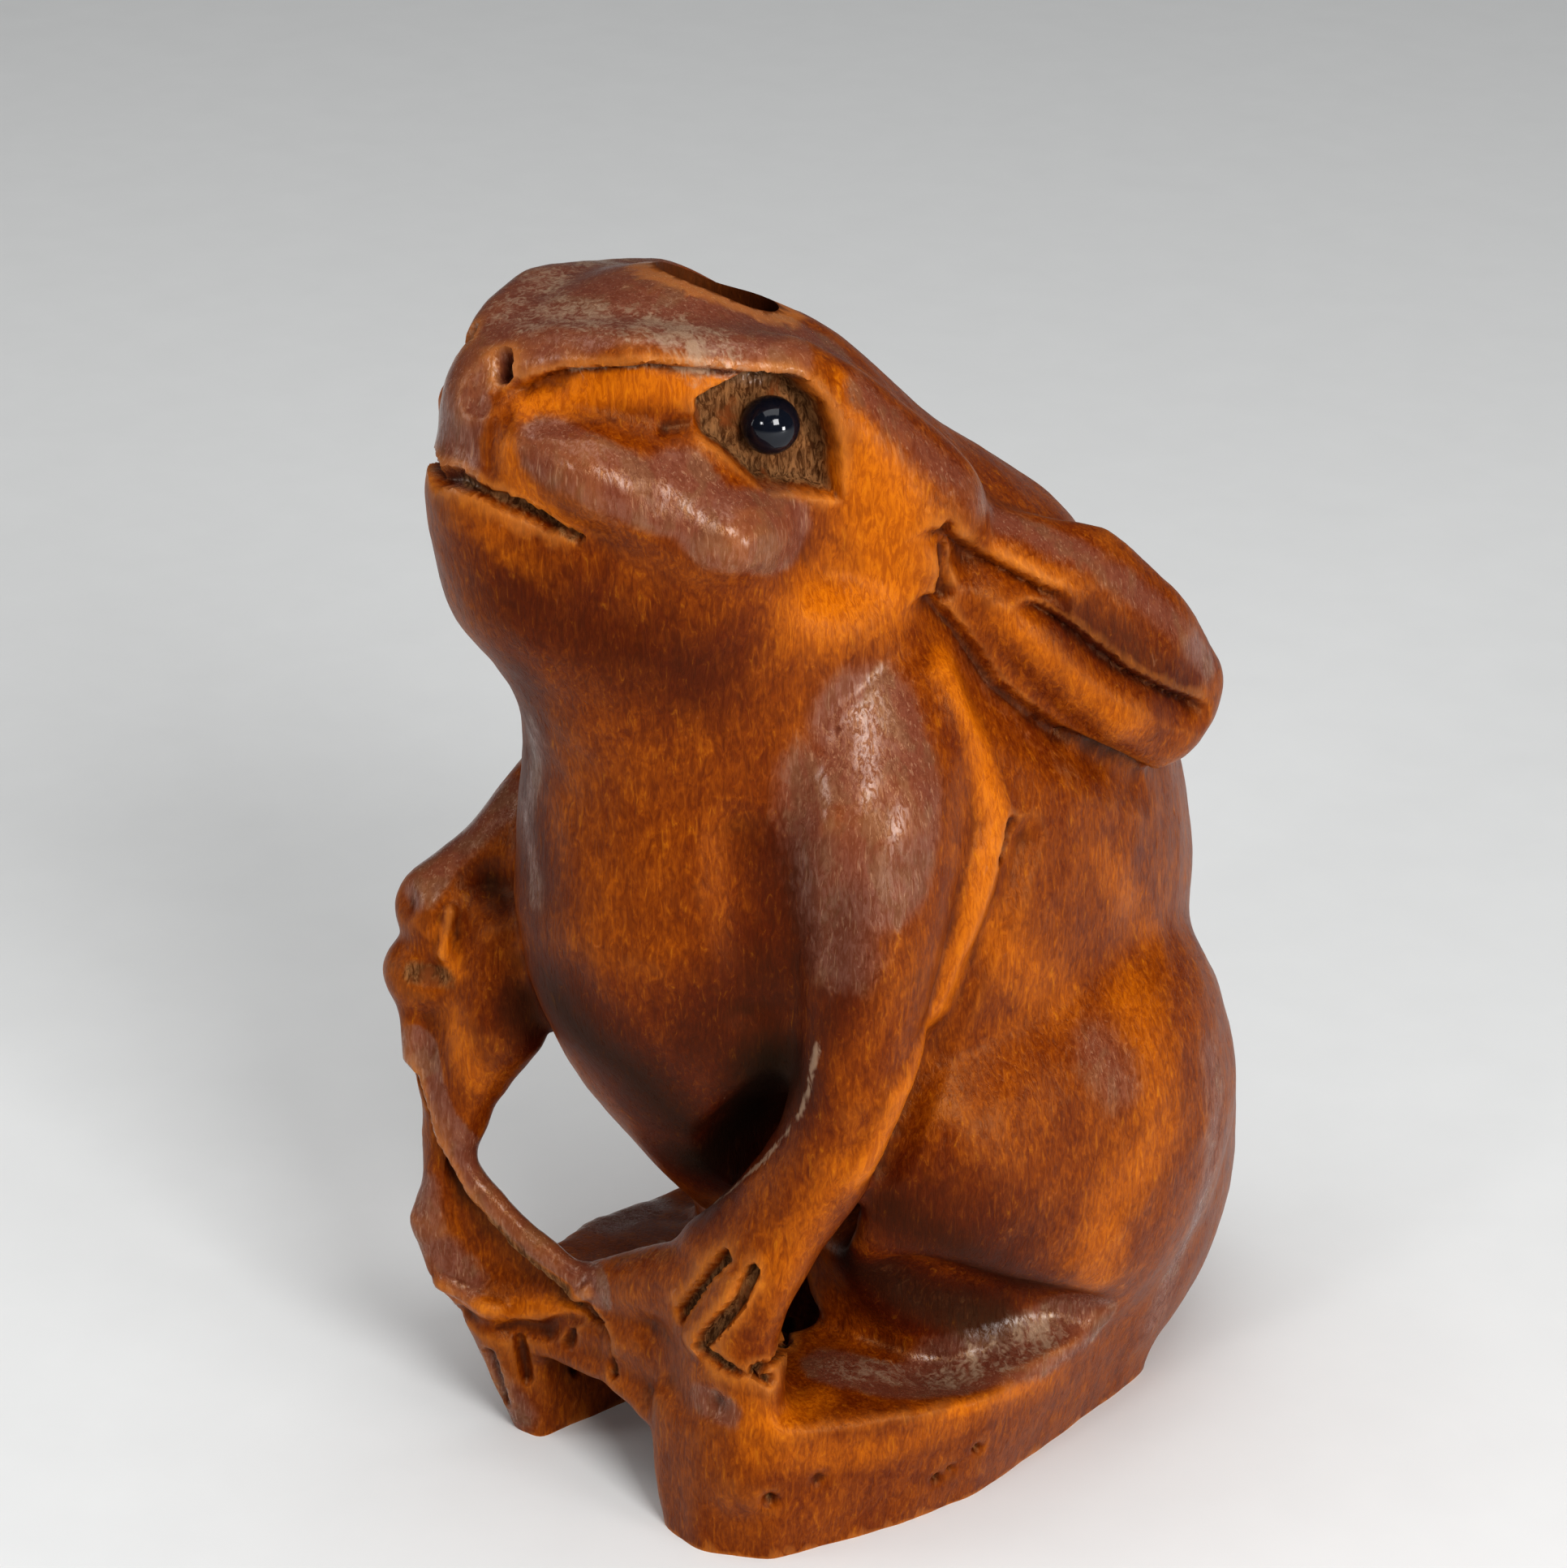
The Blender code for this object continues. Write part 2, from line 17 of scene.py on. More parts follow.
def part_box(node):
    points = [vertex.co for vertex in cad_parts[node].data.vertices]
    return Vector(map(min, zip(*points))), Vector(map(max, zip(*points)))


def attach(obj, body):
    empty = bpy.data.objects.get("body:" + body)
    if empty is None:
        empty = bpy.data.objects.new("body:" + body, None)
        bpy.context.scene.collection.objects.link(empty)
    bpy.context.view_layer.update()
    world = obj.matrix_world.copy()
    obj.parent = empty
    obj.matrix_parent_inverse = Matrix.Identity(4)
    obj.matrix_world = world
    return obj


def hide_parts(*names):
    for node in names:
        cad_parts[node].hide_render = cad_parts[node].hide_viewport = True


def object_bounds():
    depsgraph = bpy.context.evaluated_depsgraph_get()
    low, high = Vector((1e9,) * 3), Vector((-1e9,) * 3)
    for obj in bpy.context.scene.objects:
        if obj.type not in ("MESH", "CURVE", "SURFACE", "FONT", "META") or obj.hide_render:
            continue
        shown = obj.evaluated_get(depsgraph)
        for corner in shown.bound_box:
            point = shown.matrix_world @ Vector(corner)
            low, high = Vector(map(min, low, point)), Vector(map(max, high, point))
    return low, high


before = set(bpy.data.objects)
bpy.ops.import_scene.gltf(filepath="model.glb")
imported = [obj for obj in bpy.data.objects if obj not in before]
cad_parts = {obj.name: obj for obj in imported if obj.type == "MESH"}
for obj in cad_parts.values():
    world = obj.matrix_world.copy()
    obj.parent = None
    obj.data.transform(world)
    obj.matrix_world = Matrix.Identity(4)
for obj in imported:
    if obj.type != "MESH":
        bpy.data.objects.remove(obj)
CAD_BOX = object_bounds()

bl_info = {
    "name": "Carved hare bead",
    "version": (1, 0, 0),
    "blender": (4, 5, 0),
    "location": "3D Viewport > Sidebar > Bead",
    "description": "Builds the carved hare, its inlaid eyes and the stage round the packed part",
    "category": "Object",
}

UNIT = 0.001

# How the head is set on the neck, and where the eye sits in it
HEAD_PIVOT = (0.0, -5.5, 25.0)
HEAD_TURN = math.radians(-12)
EYE_PLACE = (0.1, 3.0, 0.9)

# How far the ears lean back and splay
EAR_LEAN = math.radians(-43)
EAR_SPLAY = math.radians(4)

# The cord hole's axis, from the crown in the head's frame to a point under the belly
CROWN_HOLE = (-0.3, 0.0, 2.6)
UNDER_HOLE = (0.0, -2.0, 3.0)

# The view: its width in steps, the slope of its edge, and what it is centred on
VIEW_WIDTH = 1931.5
VIEW_SLOPE = math.tan(math.radians(10))
VIEW_AIM = (-2.3, -1.5, 14.7)

# How far under or over its surroundings skin starts to count as a crease or an edge, and how
# much further it lies when it counts in full
CREASE_FROM, CREASE_OVER = 0.012, 0.05
EDGE_FROM, EDGE_OVER = 0.015, 0.06

# How far from the cord hole's wall skin still counts as inside it
BORE_MARGIN = 0.02

# How often each stage is smoothed after it is fused
CUTTER_PASSES = 2
BODY_PASSES = 24
LIMB_PASSES = 3
SKIN_PASSES = 6

SHARP_ANGLE = math.radians(65)
CUTTER_LENGTH = 0.04
FLOOR_CUTTER_SIDE = 0.06
FLOOR_REACH = 0.6

# The lamps: azimuth and elevation in degrees, distance, size and power as a share of the key's
LAMPS = {
    "key": (74, 32, 0.16, 0.055, 1.0),
    "top": (60, 84, 0.3, 0.3, 3.6),
    "side": (101, 4, 0.16, 0.03, 0.5),
    "front": (14, 26, 0.16, 0.022, 0.2),
    "left": (-35, 14, 0.2, 0.08, 0.4),
}
LAMP_AIM = (0, 0, 14)
SKY_COLOUR = (0.80, 0.83, 0.86, 1.0)


def units(x, y, z):
    return Vector((x, y, z)) * UNIT


def placed(name, data):
    thing = bpy.data.objects.new(name, data)
    bpy.context.scene.collection.objects.link(thing)
    return thing


def linked(name, part):
    """An object from a bmesh, which is used up."""
    mesh = bpy.data.meshes.new(name)
    part.to_mesh(mesh)
    part.free()
    return placed(name, mesh)


def seen_from(azimuth, elevation):
    """The direction from the figure to a viewer, where azimuth 0 is in front of it."""
    level = math.cos(elevation)
    return Vector((math.sin(azimuth) * level, -math.cos(azimuth) * level, math.sin(elevation)))


def face(thing, aim, towards, distance):
    """Stand a lamp or the camera off from what it is aimed at."""
    thing.location = aim + towards * distance
    thing.rotation_euler = towards.to_track_quat("Z", "Y").to_euler()


def head_matrix():
    turn = Matrix.Rotation(HEAD_TURN, 4, "Z")
    swap = Matrix(((0, 1, 0, 0), (-1, 0, 0, 0), (0, 0, 1, 0), (0, 0, 0, 1)))
    return Matrix.Translation(units(*HEAD_PIVOT)) @ turn @ swap


def in_head(forward, aside, up):
    return head_matrix() @ units(forward, aside, up)


def eye_centre(side):
    forward, aside, up = EYE_PLACE
    return in_head(forward, side * aside, up)


def figure_shift():
    """From the figure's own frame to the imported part's, found from where the left eye is."""
    low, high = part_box("eye_left")
    return (low + high) / 2 - eye_centre(1)


# Settings that a user would change

def length(name, description, default):
    return bpy.props.FloatProperty(
        name=name, description=description, default=default, unit="LENGTH", precision=5
    )


def colour(name, description, default):
    return bpy.props.FloatVectorProperty(
        name=name, description=description, default=default, subtype="COLOR", min=0.0, max=1.0
    )


def angle(name, description, degrees):
    return bpy.props.FloatProperty(
        name=name, description=description, default=math.radians(degrees), subtype="ANGLE"
    )


class FigureSettings(bpy.types.PropertyGroup):
    cord_hole: length("Cord hole", "Width of the hole from the crown to the underside", 0.0024)
    eye_width: length("Eye", "Width of an inlaid eye", 0.0012)
    grain: length("Grain", "Fineness of the figure's skin", 0.0001)
    triangles: bpy.props.IntProperty(
        name="Triangles", description="How many triangles the figure keeps", default=190000
    )


class FinishSettings(bpy.types.PropertyGroup):
    amber: colour("Amber", "Clear stained boxwood", (0.49, 0.128, 0.001))
    brown: colour("Brown", "Boxwood where the stain lies deep", (0.108, 0.012, 0.0004))
    patina: colour("Patina", "High places that handling has burnished", (0.165, 0.052, 0.030))
    # This dark colour is both settled dirt and painted shade in slots, pits and recesses
    grime_and_shade: colour("Grime", "Dirt that has settled in rough hollows", (0.035, 0.013, 0.004))
    horn: colour("Eye", "Polished black inlay", (0.003, 0.004, 0.008))


class StageSettings(bpy.types.PropertyGroup):
    floor: colour("Floor", "Pale floor under the bead", (0.78, 0.785, 0.78))
    key: bpy.props.FloatProperty(
        name="Key light", description="Power of the main lamp, which the others follow",
        default=0.152, unit="POWER",
    )
    sky: bpy.props.FloatProperty(
        name="Sky", description="Strength of the even light from all round", default=0.1
    )
    azimuth: angle("Azimuth", "How far round the camera stands from the front", 50)
    elevation: angle("Elevation", "How high the camera looks from", 25)
    distance: length("Distance", "From the camera to the middle of the view", 0.1)


# Laying up the figure

class Clay:
    """Closed masses gathered in one mesh, before they are fused."""

    def __init__(self, thing=None):
        self.mesh = bmesh.new()
        if thing:
            self.mesh.from_mesh(thing.data)
            bpy.data.objects.remove(thing, do_unlink=True)

    def wrap_balls(self, stations, space=Matrix(), detail=4):
        """Wrap ellipsoids at once, each with a centre, radii and an optional turn."""
        part = bmesh.new()
        for centre, radii, *turn in stations:
            scale = Matrix.Diagonal((*[radius * UNIT for radius in radii], 1.0))
            place = space @ Matrix.Translation(units(*centre))
            for step in (*turn, scale):
                place = place @ step
            bmesh.ops.create_icosphere(part, subdivisions=detail, radius=1.0, matrix=place)
        self.take_hull(part)

    def add_hull(self, stations, space=Matrix()):
        """Wrap a run of ellipsoids, each with its neighbour."""
        for pair in zip(stations, stations[1:] or stations):
            self.wrap_balls(pair, space)

    def take_hull(self, part):
        """Take up the convex hull of a set of points."""
        faces = part.faces[:]
        if faces:
            bmesh.ops.delete(part, geom=faces, context="FACES_ONLY")
        bmesh.ops.convex_hull(part, input=part.verts[:])
        loose = [edge for edge in part.edges if not edge.link_faces]
        bmesh.ops.delete(part, geom=loose, context="EDGES")
        inner = [vert for vert in part.verts if not vert.link_faces]
        bmesh.ops.delete(part, geom=inner, context="VERTS")
        bmesh.ops.recalc_face_normals(part, faces=part.faces[:])
        mesh = bpy.data.meshes.new("mass")
        part.to_mesh(mesh)
        part.free()
        self.mesh.from_mesh(mesh)
        bpy.data.meshes.remove(mesh)


def both_sides(stations, flip=(-1, 1, 1)):
    """A run of ellipsoids, and the same on the other side."""
    other = [([a * b for a, b in zip(centre, flip)], radii) for centre, radii in stations]
    return stations, other


def settled(thing, modifiers):
    """Apply the modifiers given as (type, settings) pairs."""
    for kind, settings in modifiers:
        modifier = thing.modifiers.new(kind.title(), kind)
        for name, value in settings.items():
            setattr(modifier, name, value)
    depsgraph = bpy.context.evaluated_depsgraph_get()
    mesh = bpy.data.meshes.new_from_object(thing.evaluated_get(depsgraph))
    old = thing.data
    thing.modifiers.clear()
    thing.data = mesh
    bpy.data.meshes.remove(old)
    return thing


def fused(thing, grain, passes):
    steps = [("REMESH", {"mode": "VOXEL", "voxel_size": grain})]
    if passes:
        steps.append(("SMOOTH", {"factor": 0.5, "iterations": passes}))
    return settled(thing, steps)


def cut(thing, cutter):
    """Take one shape out of another, and drop the shape that did it."""
    settled(thing, [("BOOLEAN", {"operation": "DIFFERENCE", "object": cutter})])
    bpy.data.objects.remove(cutter, do_unlink=True)


# Masses of the body

TRUNK = (
    # height, front, back, half width
    (6.5, -5.9, 2.0, 1.3), (7.6, -6.8, 5.0, 3.0), (9.0, -7.8, 6.8, 4.5),
    (10.6, -8.8, 7.6, 5.2), (12.4, -9.6, 7.8, 5.5), (14.4, -9.9, 7.3, 5.6),
    (16.4, -9.7, 6.6, 5.4), (18.2, -9.6, 5.6, 4.9), (20.0, -10.0, 4.4, 4.5),
    (21.8, -10.6, 2.6, 4.2),
)


def trunk(clay):
    stations = []
    for height, front, back, half_width in TRUNK:
        middle = (front + back) / 2
        reach = (back - front) / 2
        stations.append(((0, middle, height), (half_width, reach, 1.1)))
    clay.add_hull(stations)


def rump(clay):
    clay.add_hull([((0, 2.3, 5.0), (5.6, 6.9, 7.4))])
    haunch = [((3.0, 1.2, 7.4), (3.7, 5.7, 6.0)), ((3.5, -2.0, 8.3), (3.0, 3.4, 4.0))]
    for side in both_sides(haunch):
        clay.add_hull(side)


def head(clay):
    skull = head_matrix()
    clay.add_hull([
        ((-0.9, 0, -0.9), (3.2, 3.6, 3.15)), ((1.2, 0, 0.7), (2.8, 3.2, 2.8)),
        ((3.95, 0, 1.05), (1.9, 1.75, 1.85)),
    ], skull)
    clay.add_hull([
        ((4.8, 0, -0.6), (1.5, 1.7, 1.3)), ((3.9, 0, -2.6), (2.0, 2.4, 2.0)),
        ((1.5, 0, -4.6), (2.8, 3.4, 2.4)),
    ], skull)
    clay.add_hull([
        ((-0.9, 0, -0.9), (3.2, 3.6, 3.15)), ((-3.4, 0, -2.9), (2.8, 3.6, 2.85)),
        ((-6.6, -0.4, -4.95), (2.6, 3.6, 2.6)),
    ], skull)
    cheek = [
        ((4.55, 1.2, 0.8), (0.95, 0.95, 1.0)), ((3.6, 2.3, 0.2), (1.2, 1.15, 1.0)),
        ((1.3, 3.2, -1.1), (1.5, 1.3, 1.1)),
    ]
    brow = [
        ((4.2, 0.85, 2.35), (0.75, 0.75, 0.65)), ((2.6, 2.1, 2.5), (0.9, 0.9, 0.7)),
        ((-0.3, 2.8, 1.9), (0.9, 0.9, 0.8)), ((-1.6, 2.7, 0.6), (1.1, 1.2, 1.2)),
        ((-3.4, 2.8, -1.8), (1.6, 1.4, 1.8)),
    ]
    jaw = [((3.6, 1.5, -1.4), (1.2, 1.2, 0.9)), ((1.0, 2.4, -2.6), (2.2, 1.7, 1.7))]
    for run in (cheek, brow, jaw):
        for side in both_sides(run, flip=(1, -1, 1)):
            clay.add_hull(side, skull)


def near_foreleg(clay):
    clay.add_hull([
        ((3.2, -3.6, 18.6), (1.8, 2.6, 2.6)), ((4.3, -4.5, 16.8), (1.5, 2.2, 2.4)),
        ((4.8, -5.2, 14.2), (1.3, 1.6, 2.0)), ((4.9, -5.6, 11.6), (1.1, 1.25, 1.6)),
        ((4.4, -6.0, 9.7), (1.1, 1.1, 1.4)), ((3.6, -6.6, 8.0), (1.2, 1.0, 1.2)),
        ((2.8, -7.2, 6.6), (1.7, 0.9, 1.2)), ((2.5, -7.4, 5.2), (1.7, 0.9, 1.0)),
    ])


def far_foreleg(clay):
    """The right foreleg: a bent elbow over a fist, and the wrist below that holds the leaf."""
    clay.add_hull([
        ((-3.6, -4.6, 16.2), (1.6, 2.2, 2.0)), ((-4.4, -7.4, 13.7), (1.3, 1.7, 1.4)),
        ((-5.1, -9.1, 13.0), (1.0, 1.0, 1.05)),
    ])
    fist = [((-4.4, -8.4, 12.2), (1.2, 1.2, 1.2)), ((-5.2, -9.5, 11.5), (0.95, 0.95, 0.95))]
    clay.add_hull(fist)
    clay.add_hull([
        ((-3.8, -8.2, 12.6), (1.1, 1.1, 1.2)), ((-3.8, -8.6, 10.6), (1.35, 1.15, 1.2)),
        ((-4.2, -9.1, 9.2), (0.8, 0.8, 1.2)), ((-4.5, -9.5, 7.4), (0.6, 0.6, 1.0)),
        ((-4.6, -9.5, 5.6), (0.7, 0.7, 1.0)),
    ])


def feet(clay):
    foot(clay, 1, 1.0)
    foot(clay, -1, 2.7)


def foot(clay, side, arch):
    """A long hind foot: a slab whose outer side leans out to a rim, and whose toe is rounded."""
    sections = []
    for y, inner, sole, floor, rim, top in (
        (-8.5, 1.4, 2.1, 3.0, 3.1, 3.0),
        (-7.5, 1.1, 1.3, 4.3, 4.7, 3.5),
        (-4.6, 1.6, 1.6, 5.0, 5.6, 3.2),
        (-2.4, 1.8, 1.8, 5.2, 5.9, 2.9),
        (0.9, 1.8, 1.8, 4.6, 5.6, 3.1),
        (4.4, 1.4, 1.4, 3.9, 4.8, 3.7),
    ):
        inner = max(inner, arch)
        sole = max(sole, arch)
        outer_side = [(floor, -1), (floor, 0.2), (rim, top)]
        inner_side = [(inner, top + 0.3), (inner, 1.5), (sole, -1)]
        sections.append([(side * across, y, up) for across, up in outer_side + inner_side])
    for first, second in zip(sections, sections[1:]):
        part = bmesh.new()
        for corner in (*first, *second):
            part.verts.new(units(*corner))
        clay.take_hull(part)


def ears(clay):
    ear(clay, 1)
    ear(clay, -1)


def ear(clay, side):
    """A long ear laid back along the shoulder."""
    laid_back = Matrix.Rotation(EAR_LEAN, 4, "X") @ Matrix.Rotation(side * EAR_SPLAY, 4, "Z")
    stations = []
    for (x, y, z), radii in (
        ((3.6, -1.8, 22.2), (0.9, 1.1, 1.2)), ((4.6, 0.5, 20.8), (0.9, 1.2, 1.8)),
        ((5.0, 2.3, 18.9), (0.9, 1.2, 1.85)), ((4.9, 3.6, 17.6), (0.8, 1.0, 1.5)),
    ):
        stations.append(((side * x, y, z), radii, laid_back))
    clay.add_hull(stations)


LEAF_RIM = (
    (-5.0, -10.0, 10.6), (-4.9, -10.0, 9.0), (-4.5, -9.6, 7.6), (-3.8, -9.2, 6.5),
    (-2.9, -8.8, 5.7), (-2.0, -8.4, 5.1), (-1.0, -8.0, 4.5), (0.2, -7.8, 3.9),
    (1.4, -7.6, 3.4),
)
LEAF_HEM = (
    (-5.0, -9.4, 8.0), (-5.0, -9.6, 6.4), (-5.0, -10.0, 5.4), (-4.6, -9.7, 4.0),
    (-3.9, -9.1, 2.9), (-2.9, -8.5, 2.6), (-1.8, -8.2, 2.6), (-0.4, -8.1, 2.7),
    (1.0, -8.1, 2.4),
)
LEAF_ROLL = 0.33
LEAF_SHEET = 0.32


def leaf(clay):
    """A curled leaf: a thick sheet between its rolled rim and its lobed hem."""
    clay.add_hull([(point, (LEAF_ROLL,) * 3) for point in LEAF_RIM])
    for first in range(len(LEAF_RIM) - 1):
        corners = []
        for index in (first, first + 1):
            upper, lower = Vector(LEAF_RIM[index]), Vector(LEAF_HEM[index])
            dish = upper.lerp(lower, 0.5) + Vector((0.25, 0.55, 0))
            corners.append((upper, dish, lower))
        for row in range(2):
            block = []
            for column in corners:
                for point in (column[row], column[row + 1]):
                    block.append((tuple(point), (LEAF_SHEET,) * 3))
            clay.wrap_balls(block, detail=2)


def toe_bridge(clay):
    """The mass where leaf, hands and toes meet in front."""
    for pair in (
        (((2.6, -7.0, 4.4), (1.4, 1.0, 1.2)), ((0.4, -7.4, 3.6), (1.2, 0.8, 0.9))),
        (((0.4, -7.5, 3.9), (1.0, 0.8, 0.7)), ((-3.2, -8.0, 3.6), (1.0, 0.9, 1.0))),
        (((2.0, -7.4, 6.0), (1.2, 0.8, 1.0)), ((-0.8, -7.8, 4.8), (0.8, 0.6, 0.6))),
        (((2.9, -7.4, 4.6), (1.5, 0.9, 1.0)), ((3.0, -7.5, 2.0), (1.5, 0.95, 1.4))),
        (((-3.8, -8.9, 3.2), (0.8, 0.7, 0.8)), ((-3.4, -8.1, 0.4), (0.6, 0.6, 0.9))),
    ):
        clay.add_hull(pair)


# Hollows

def hollows(clay):
    """The space under the belly, open between the feet and on both sides."""
    clay.add_hull([((0, -7.2, 2.4), (1.5, 3.0, 4.6)), ((0, -2.0, 2.6), (1.8, 2.4, 3.8))])
    clay.add_hull([
        ((0.4, -6.4, 7.2), (2.4, 2.6, 2.8)), ((-3.0, -5.4, 6.0), (1.8, 2.2, 2.6)),
        ((-6.5, -3.4, 5.4), (1.5, 2.4, 2.2)),
    ])
    clay.add_hull([((1.0, -5.6, 7.4), (1.8, 1.8, 2.3)), ((2.8, -4.9, 7.6), (1.0, 1.4, 1.6))])


def near_recess(clay):
    """The rough hollow between the left haunch and the foot."""
    clay.add_hull([
        ((5.3, -4.2, 5.0), (1.6, 1.3, 1.9)), ((5.9, -1.7, 4.15), (1.6, 1.6, 1.2)),
        ((6.3, 0.5, 3.5), (1.4, 1.3, 0.6)),
    ])


def belly_shadow(clay):
    """The deep hollow between the belly's tip and the left foreleg."""
    clay.add_hull([
        ((4.0, -7.0, 10.7), (1.0, 1.2, 1.1)), ((3.2, -6.8, 9.2), (1.5, 1.7, 1.5)),
        ((2.9, -4.8, 8.2), (1.5, 1.7, 1.8)),
    ])


# Finding places and carving the skin

class Sight:
    """Finds places on the skin as they are met from where the bead is looked at.

    A place in the view is given as (across, down) on a picture VIEW_WIDTH wide. A place of
    three numbers is measured in the head instead: forward, aside, up.
    """

    def __init__(self, thing, azimuth, elevation, distance):
        self.tree = BVHTree.FromObject(thing, bpy.context.evaluated_depsgraph_get())
        self.towards = seen_from(azimuth, elevation)
        self.right = Vector((math.cos(azimuth), math.sin(azimuth), 0))
        self.above = self.towards.cross(self.right)
        self.eye = units(*VIEW_AIM) + self.towards * distance

    def point(self, place):
        if len(place) == 3:
            return in_head(*place) / UNIT
        middle = VIEW_WIDTH / 2
        across = (place[0] / middle - 1) * VIEW_SLOPE
        down = (place[1] / middle - 1) * VIEW_SLOPE
        ray = self.right * across - self.above * down - self.towards
        hit = self.tree.ray_cast(self.eye, ray.normalized())[0]
        if hit is None:
            raise ValueError(f"the view holds no skin at {place}")
        return hit / UNIT

    def routes(self, mirror, places):
        """The route on the side that is seen, and its mirror image if it has one."""
        route = [self.point(place) for place in places]
        if mirror == "one":
            return [route]
        swap = MIRRORS[mirror]()
        return [route, [swap @ point for point in route]]


def body_mirror():
    return Matrix.Scale(-1, 4, (1, 0, 0))


def head_mirror():
    skull = head_matrix()
    aside = Matrix.Scale(-1, 4, (0, 1, 0))
    to_units = Matrix.Scale(1 / UNIT, 4)
    return to_units @ skull @ aside @ skull.inverted() @ to_units.inverted()


MIRRORS = {"body": body_mirror, "head": head_mirror}


class Skin:
    """The figure's surface: its vertices are moved by the knife and carry its finish."""

    def __init__(self, thing):
        self.mesh = thing.data
        self.read()

    def vectors(self, name):
        values = np.empty(len(self.mesh.vertices) * 3)
        self.mesh.vertices.foreach_get(name, values)
        return values.reshape(-1, 3)

    def read(self):
        self.places = self.vectors("co") / UNIT
        self.normals = self.vectors("normal")

    def nearest(self, route):
        """Each vertex's offset from the nearest point of a route of straight runs."""
        best = np.full(len(self.places), np.inf)
        offset = np.zeros_like(self.places)
        for first, second in zip(route, route[1:] or route):
            start = np.array(first)
            run = np.array(second) - start
            length = max(float(run @ run), 1e-12)
            share = np.clip((self.places - start) @ run / length, 0.0, 1.0)
            away = self.places - start - share[:, None] * run
            gap = np.einsum("ij,ij->i", away, away)
            closer = gap < best
            best[closer] = gap[closer]
            offset[closer] = away[closer]
        return np.sqrt(best), offset

    def sink(self, amount):
        self.places -= self.normals * amount[:, None]

    def groove(self, route, width, depth, sharpness):
        """Sink a groove along a route. A negative depth raises a ridge."""
        gap, _ = self.nearest(route)
        share = np.clip(1.0 - (gap / (width / 2)) ** 2, 0.0, None)
        self.sink(share ** sharpness * depth)

    def ledge(self, route, towards, width, depth, edge):
        """Cut down sharply on one side of a route, and run out to nothing over the width."""
        gap, offset = self.nearest(route)
        beyond = offset @ (np.array(towards) / np.linalg.norm(towards))
        beside = np.abs(gap - np.abs(beyond))
        rise = np.clip(beyond / edge, 0.0, 1.0)
        run_out = np.clip(1.0 - beyond / width, 0.0, 1.0) ** 1.2
        ends = np.clip(1.0 - beside / 0.5, 0.0, 1.0)
        self.sink(rise * run_out * ends * depth)

    def dish(self, route, radius, depth):
        """Scoop a smooth hollow at one place. A negative depth raises a swelling."""
        away = np.linalg.norm(self.places - np.array(route[0]), axis=1) / radius
        self.sink(np.exp(-2.0 * away ** 2) * depth)

    def pit(self, corners, matrix, floor, wall):
        """Push a polygon, seen along the frame's aside axis, down to a sloping floor."""
        inverse = np.array(matrix.inverted())
        here = (self.places * UNIT) @ inverse[:3, :3].T + inverse[:3, 3]
        here = here / UNIT
        inside = polygon_depth(here[:, (0, 2)], corners)
        share = eased(inside / wall)
        middle, slope_forward, slope_up = floor
        level = middle + slope_forward * here[:, 0] + slope_up * here[:, 2]
        sign = 1.0 if middle > 0 else -1.0
        proud = np.clip((here[:, 1] - level) * sign, 0.0, None)
        near = (here[:, 1] * sign > 0) & (np.abs(here[:, 1]) < 6)
        aside = np.array(matrix.to_3x3() @ Vector((0, 1, 0)))
        self.places -= aside * (proud * share * near * sign)[:, None]
        return share * near

    def roughen(self, mask, size, depth, stretch=(1, 1, 1)):
        """Break up the surface where the mask says."""
        lift = np.zeros(len(self.places))
        scale = 1 / (np.array(stretch) * size)
        for index in np.flatnonzero(mask > 0.02):
            place = Vector(self.places[index] * scale)
            lift[index] = noise.noise(place) + 0.5 * noise.noise(place * 2.3)
        self.sink(lift * mask * depth)

    def patch(self, route, radius, soft):
        """A mask that is one near a route and fades to nothing past its edge."""
        gap, _ = self.nearest(route)
        return eased((radius + soft - gap) / (2 * soft))

    def mark(self, name, values):
        attribute = self.mesh.attributes.new(name, "FLOAT", "POINT")
        attribute.data.foreach_set("value", np.clip(values, 0.0, 1.0).astype(np.float32))

    def hollowness(self, rounds):
        """How far each vertex lies below the mean of its surroundings, along its normal."""
        count = len(self.places)
        ends = np.empty(len(self.mesh.edges) * 2, dtype=np.int64)
        self.mesh.edges.foreach_get("vertices", ends)
        one, two = ends[0::2], ends[1::2]
        degree = np.bincount(one, minlength=count) + np.bincount(two, minlength=count)
        degree = np.maximum(degree, 1)[:, None]
        smooth = self.places.copy()
        for _ in range(rounds):
            total = np.empty_like(smooth)
            for axis in range(3):
                total[:, axis] = np.bincount(one, weights=smooth[two, axis], minlength=count)
                total[:, axis] += np.bincount(two, weights=smooth[one, axis], minlength=count)
            smooth = total / degree
        return np.einsum("ij,ij->i", smooth - self.places, self.normals)

    def finish(self):
        self.mesh.vertices.foreach_set("co", (self.places * UNIT).ravel())
        self.mesh.update()
        self.read()


def eased(share):
    """A share from zero to one that starts and ends gently."""
    share = np.clip(share, 0.0, 1.0)
    return share * share * (3 - 2 * share)


def polygon_depth(points, corners):
    """How far inside a convex polygon each point lies. It is negative outside."""
    middle = np.mean(np.array(corners), axis=0)
    depth = np.full(len(points), np.inf)
    for first, second in zip(corners, corners[1:] + corners[:1]):
        start, end = np.array(first), np.array(second)
        across = np.array((end[1] - start[1], start[0] - end[0]))
        across = across / np.linalg.norm(across)
        if (middle - start) @ across < 0:
            across = -across
        depth = np.minimum(depth, (points - start) @ across)
    return depth


def nearest_of(places, others):
    """For each of the others, which of the places is nearest."""
    tree = KDTree(len(places))
    for index, place in enumerate(places):
        tree.insert(place, index)
    tree.balance()
    return np.array([tree.find(place)[1] for place in others])


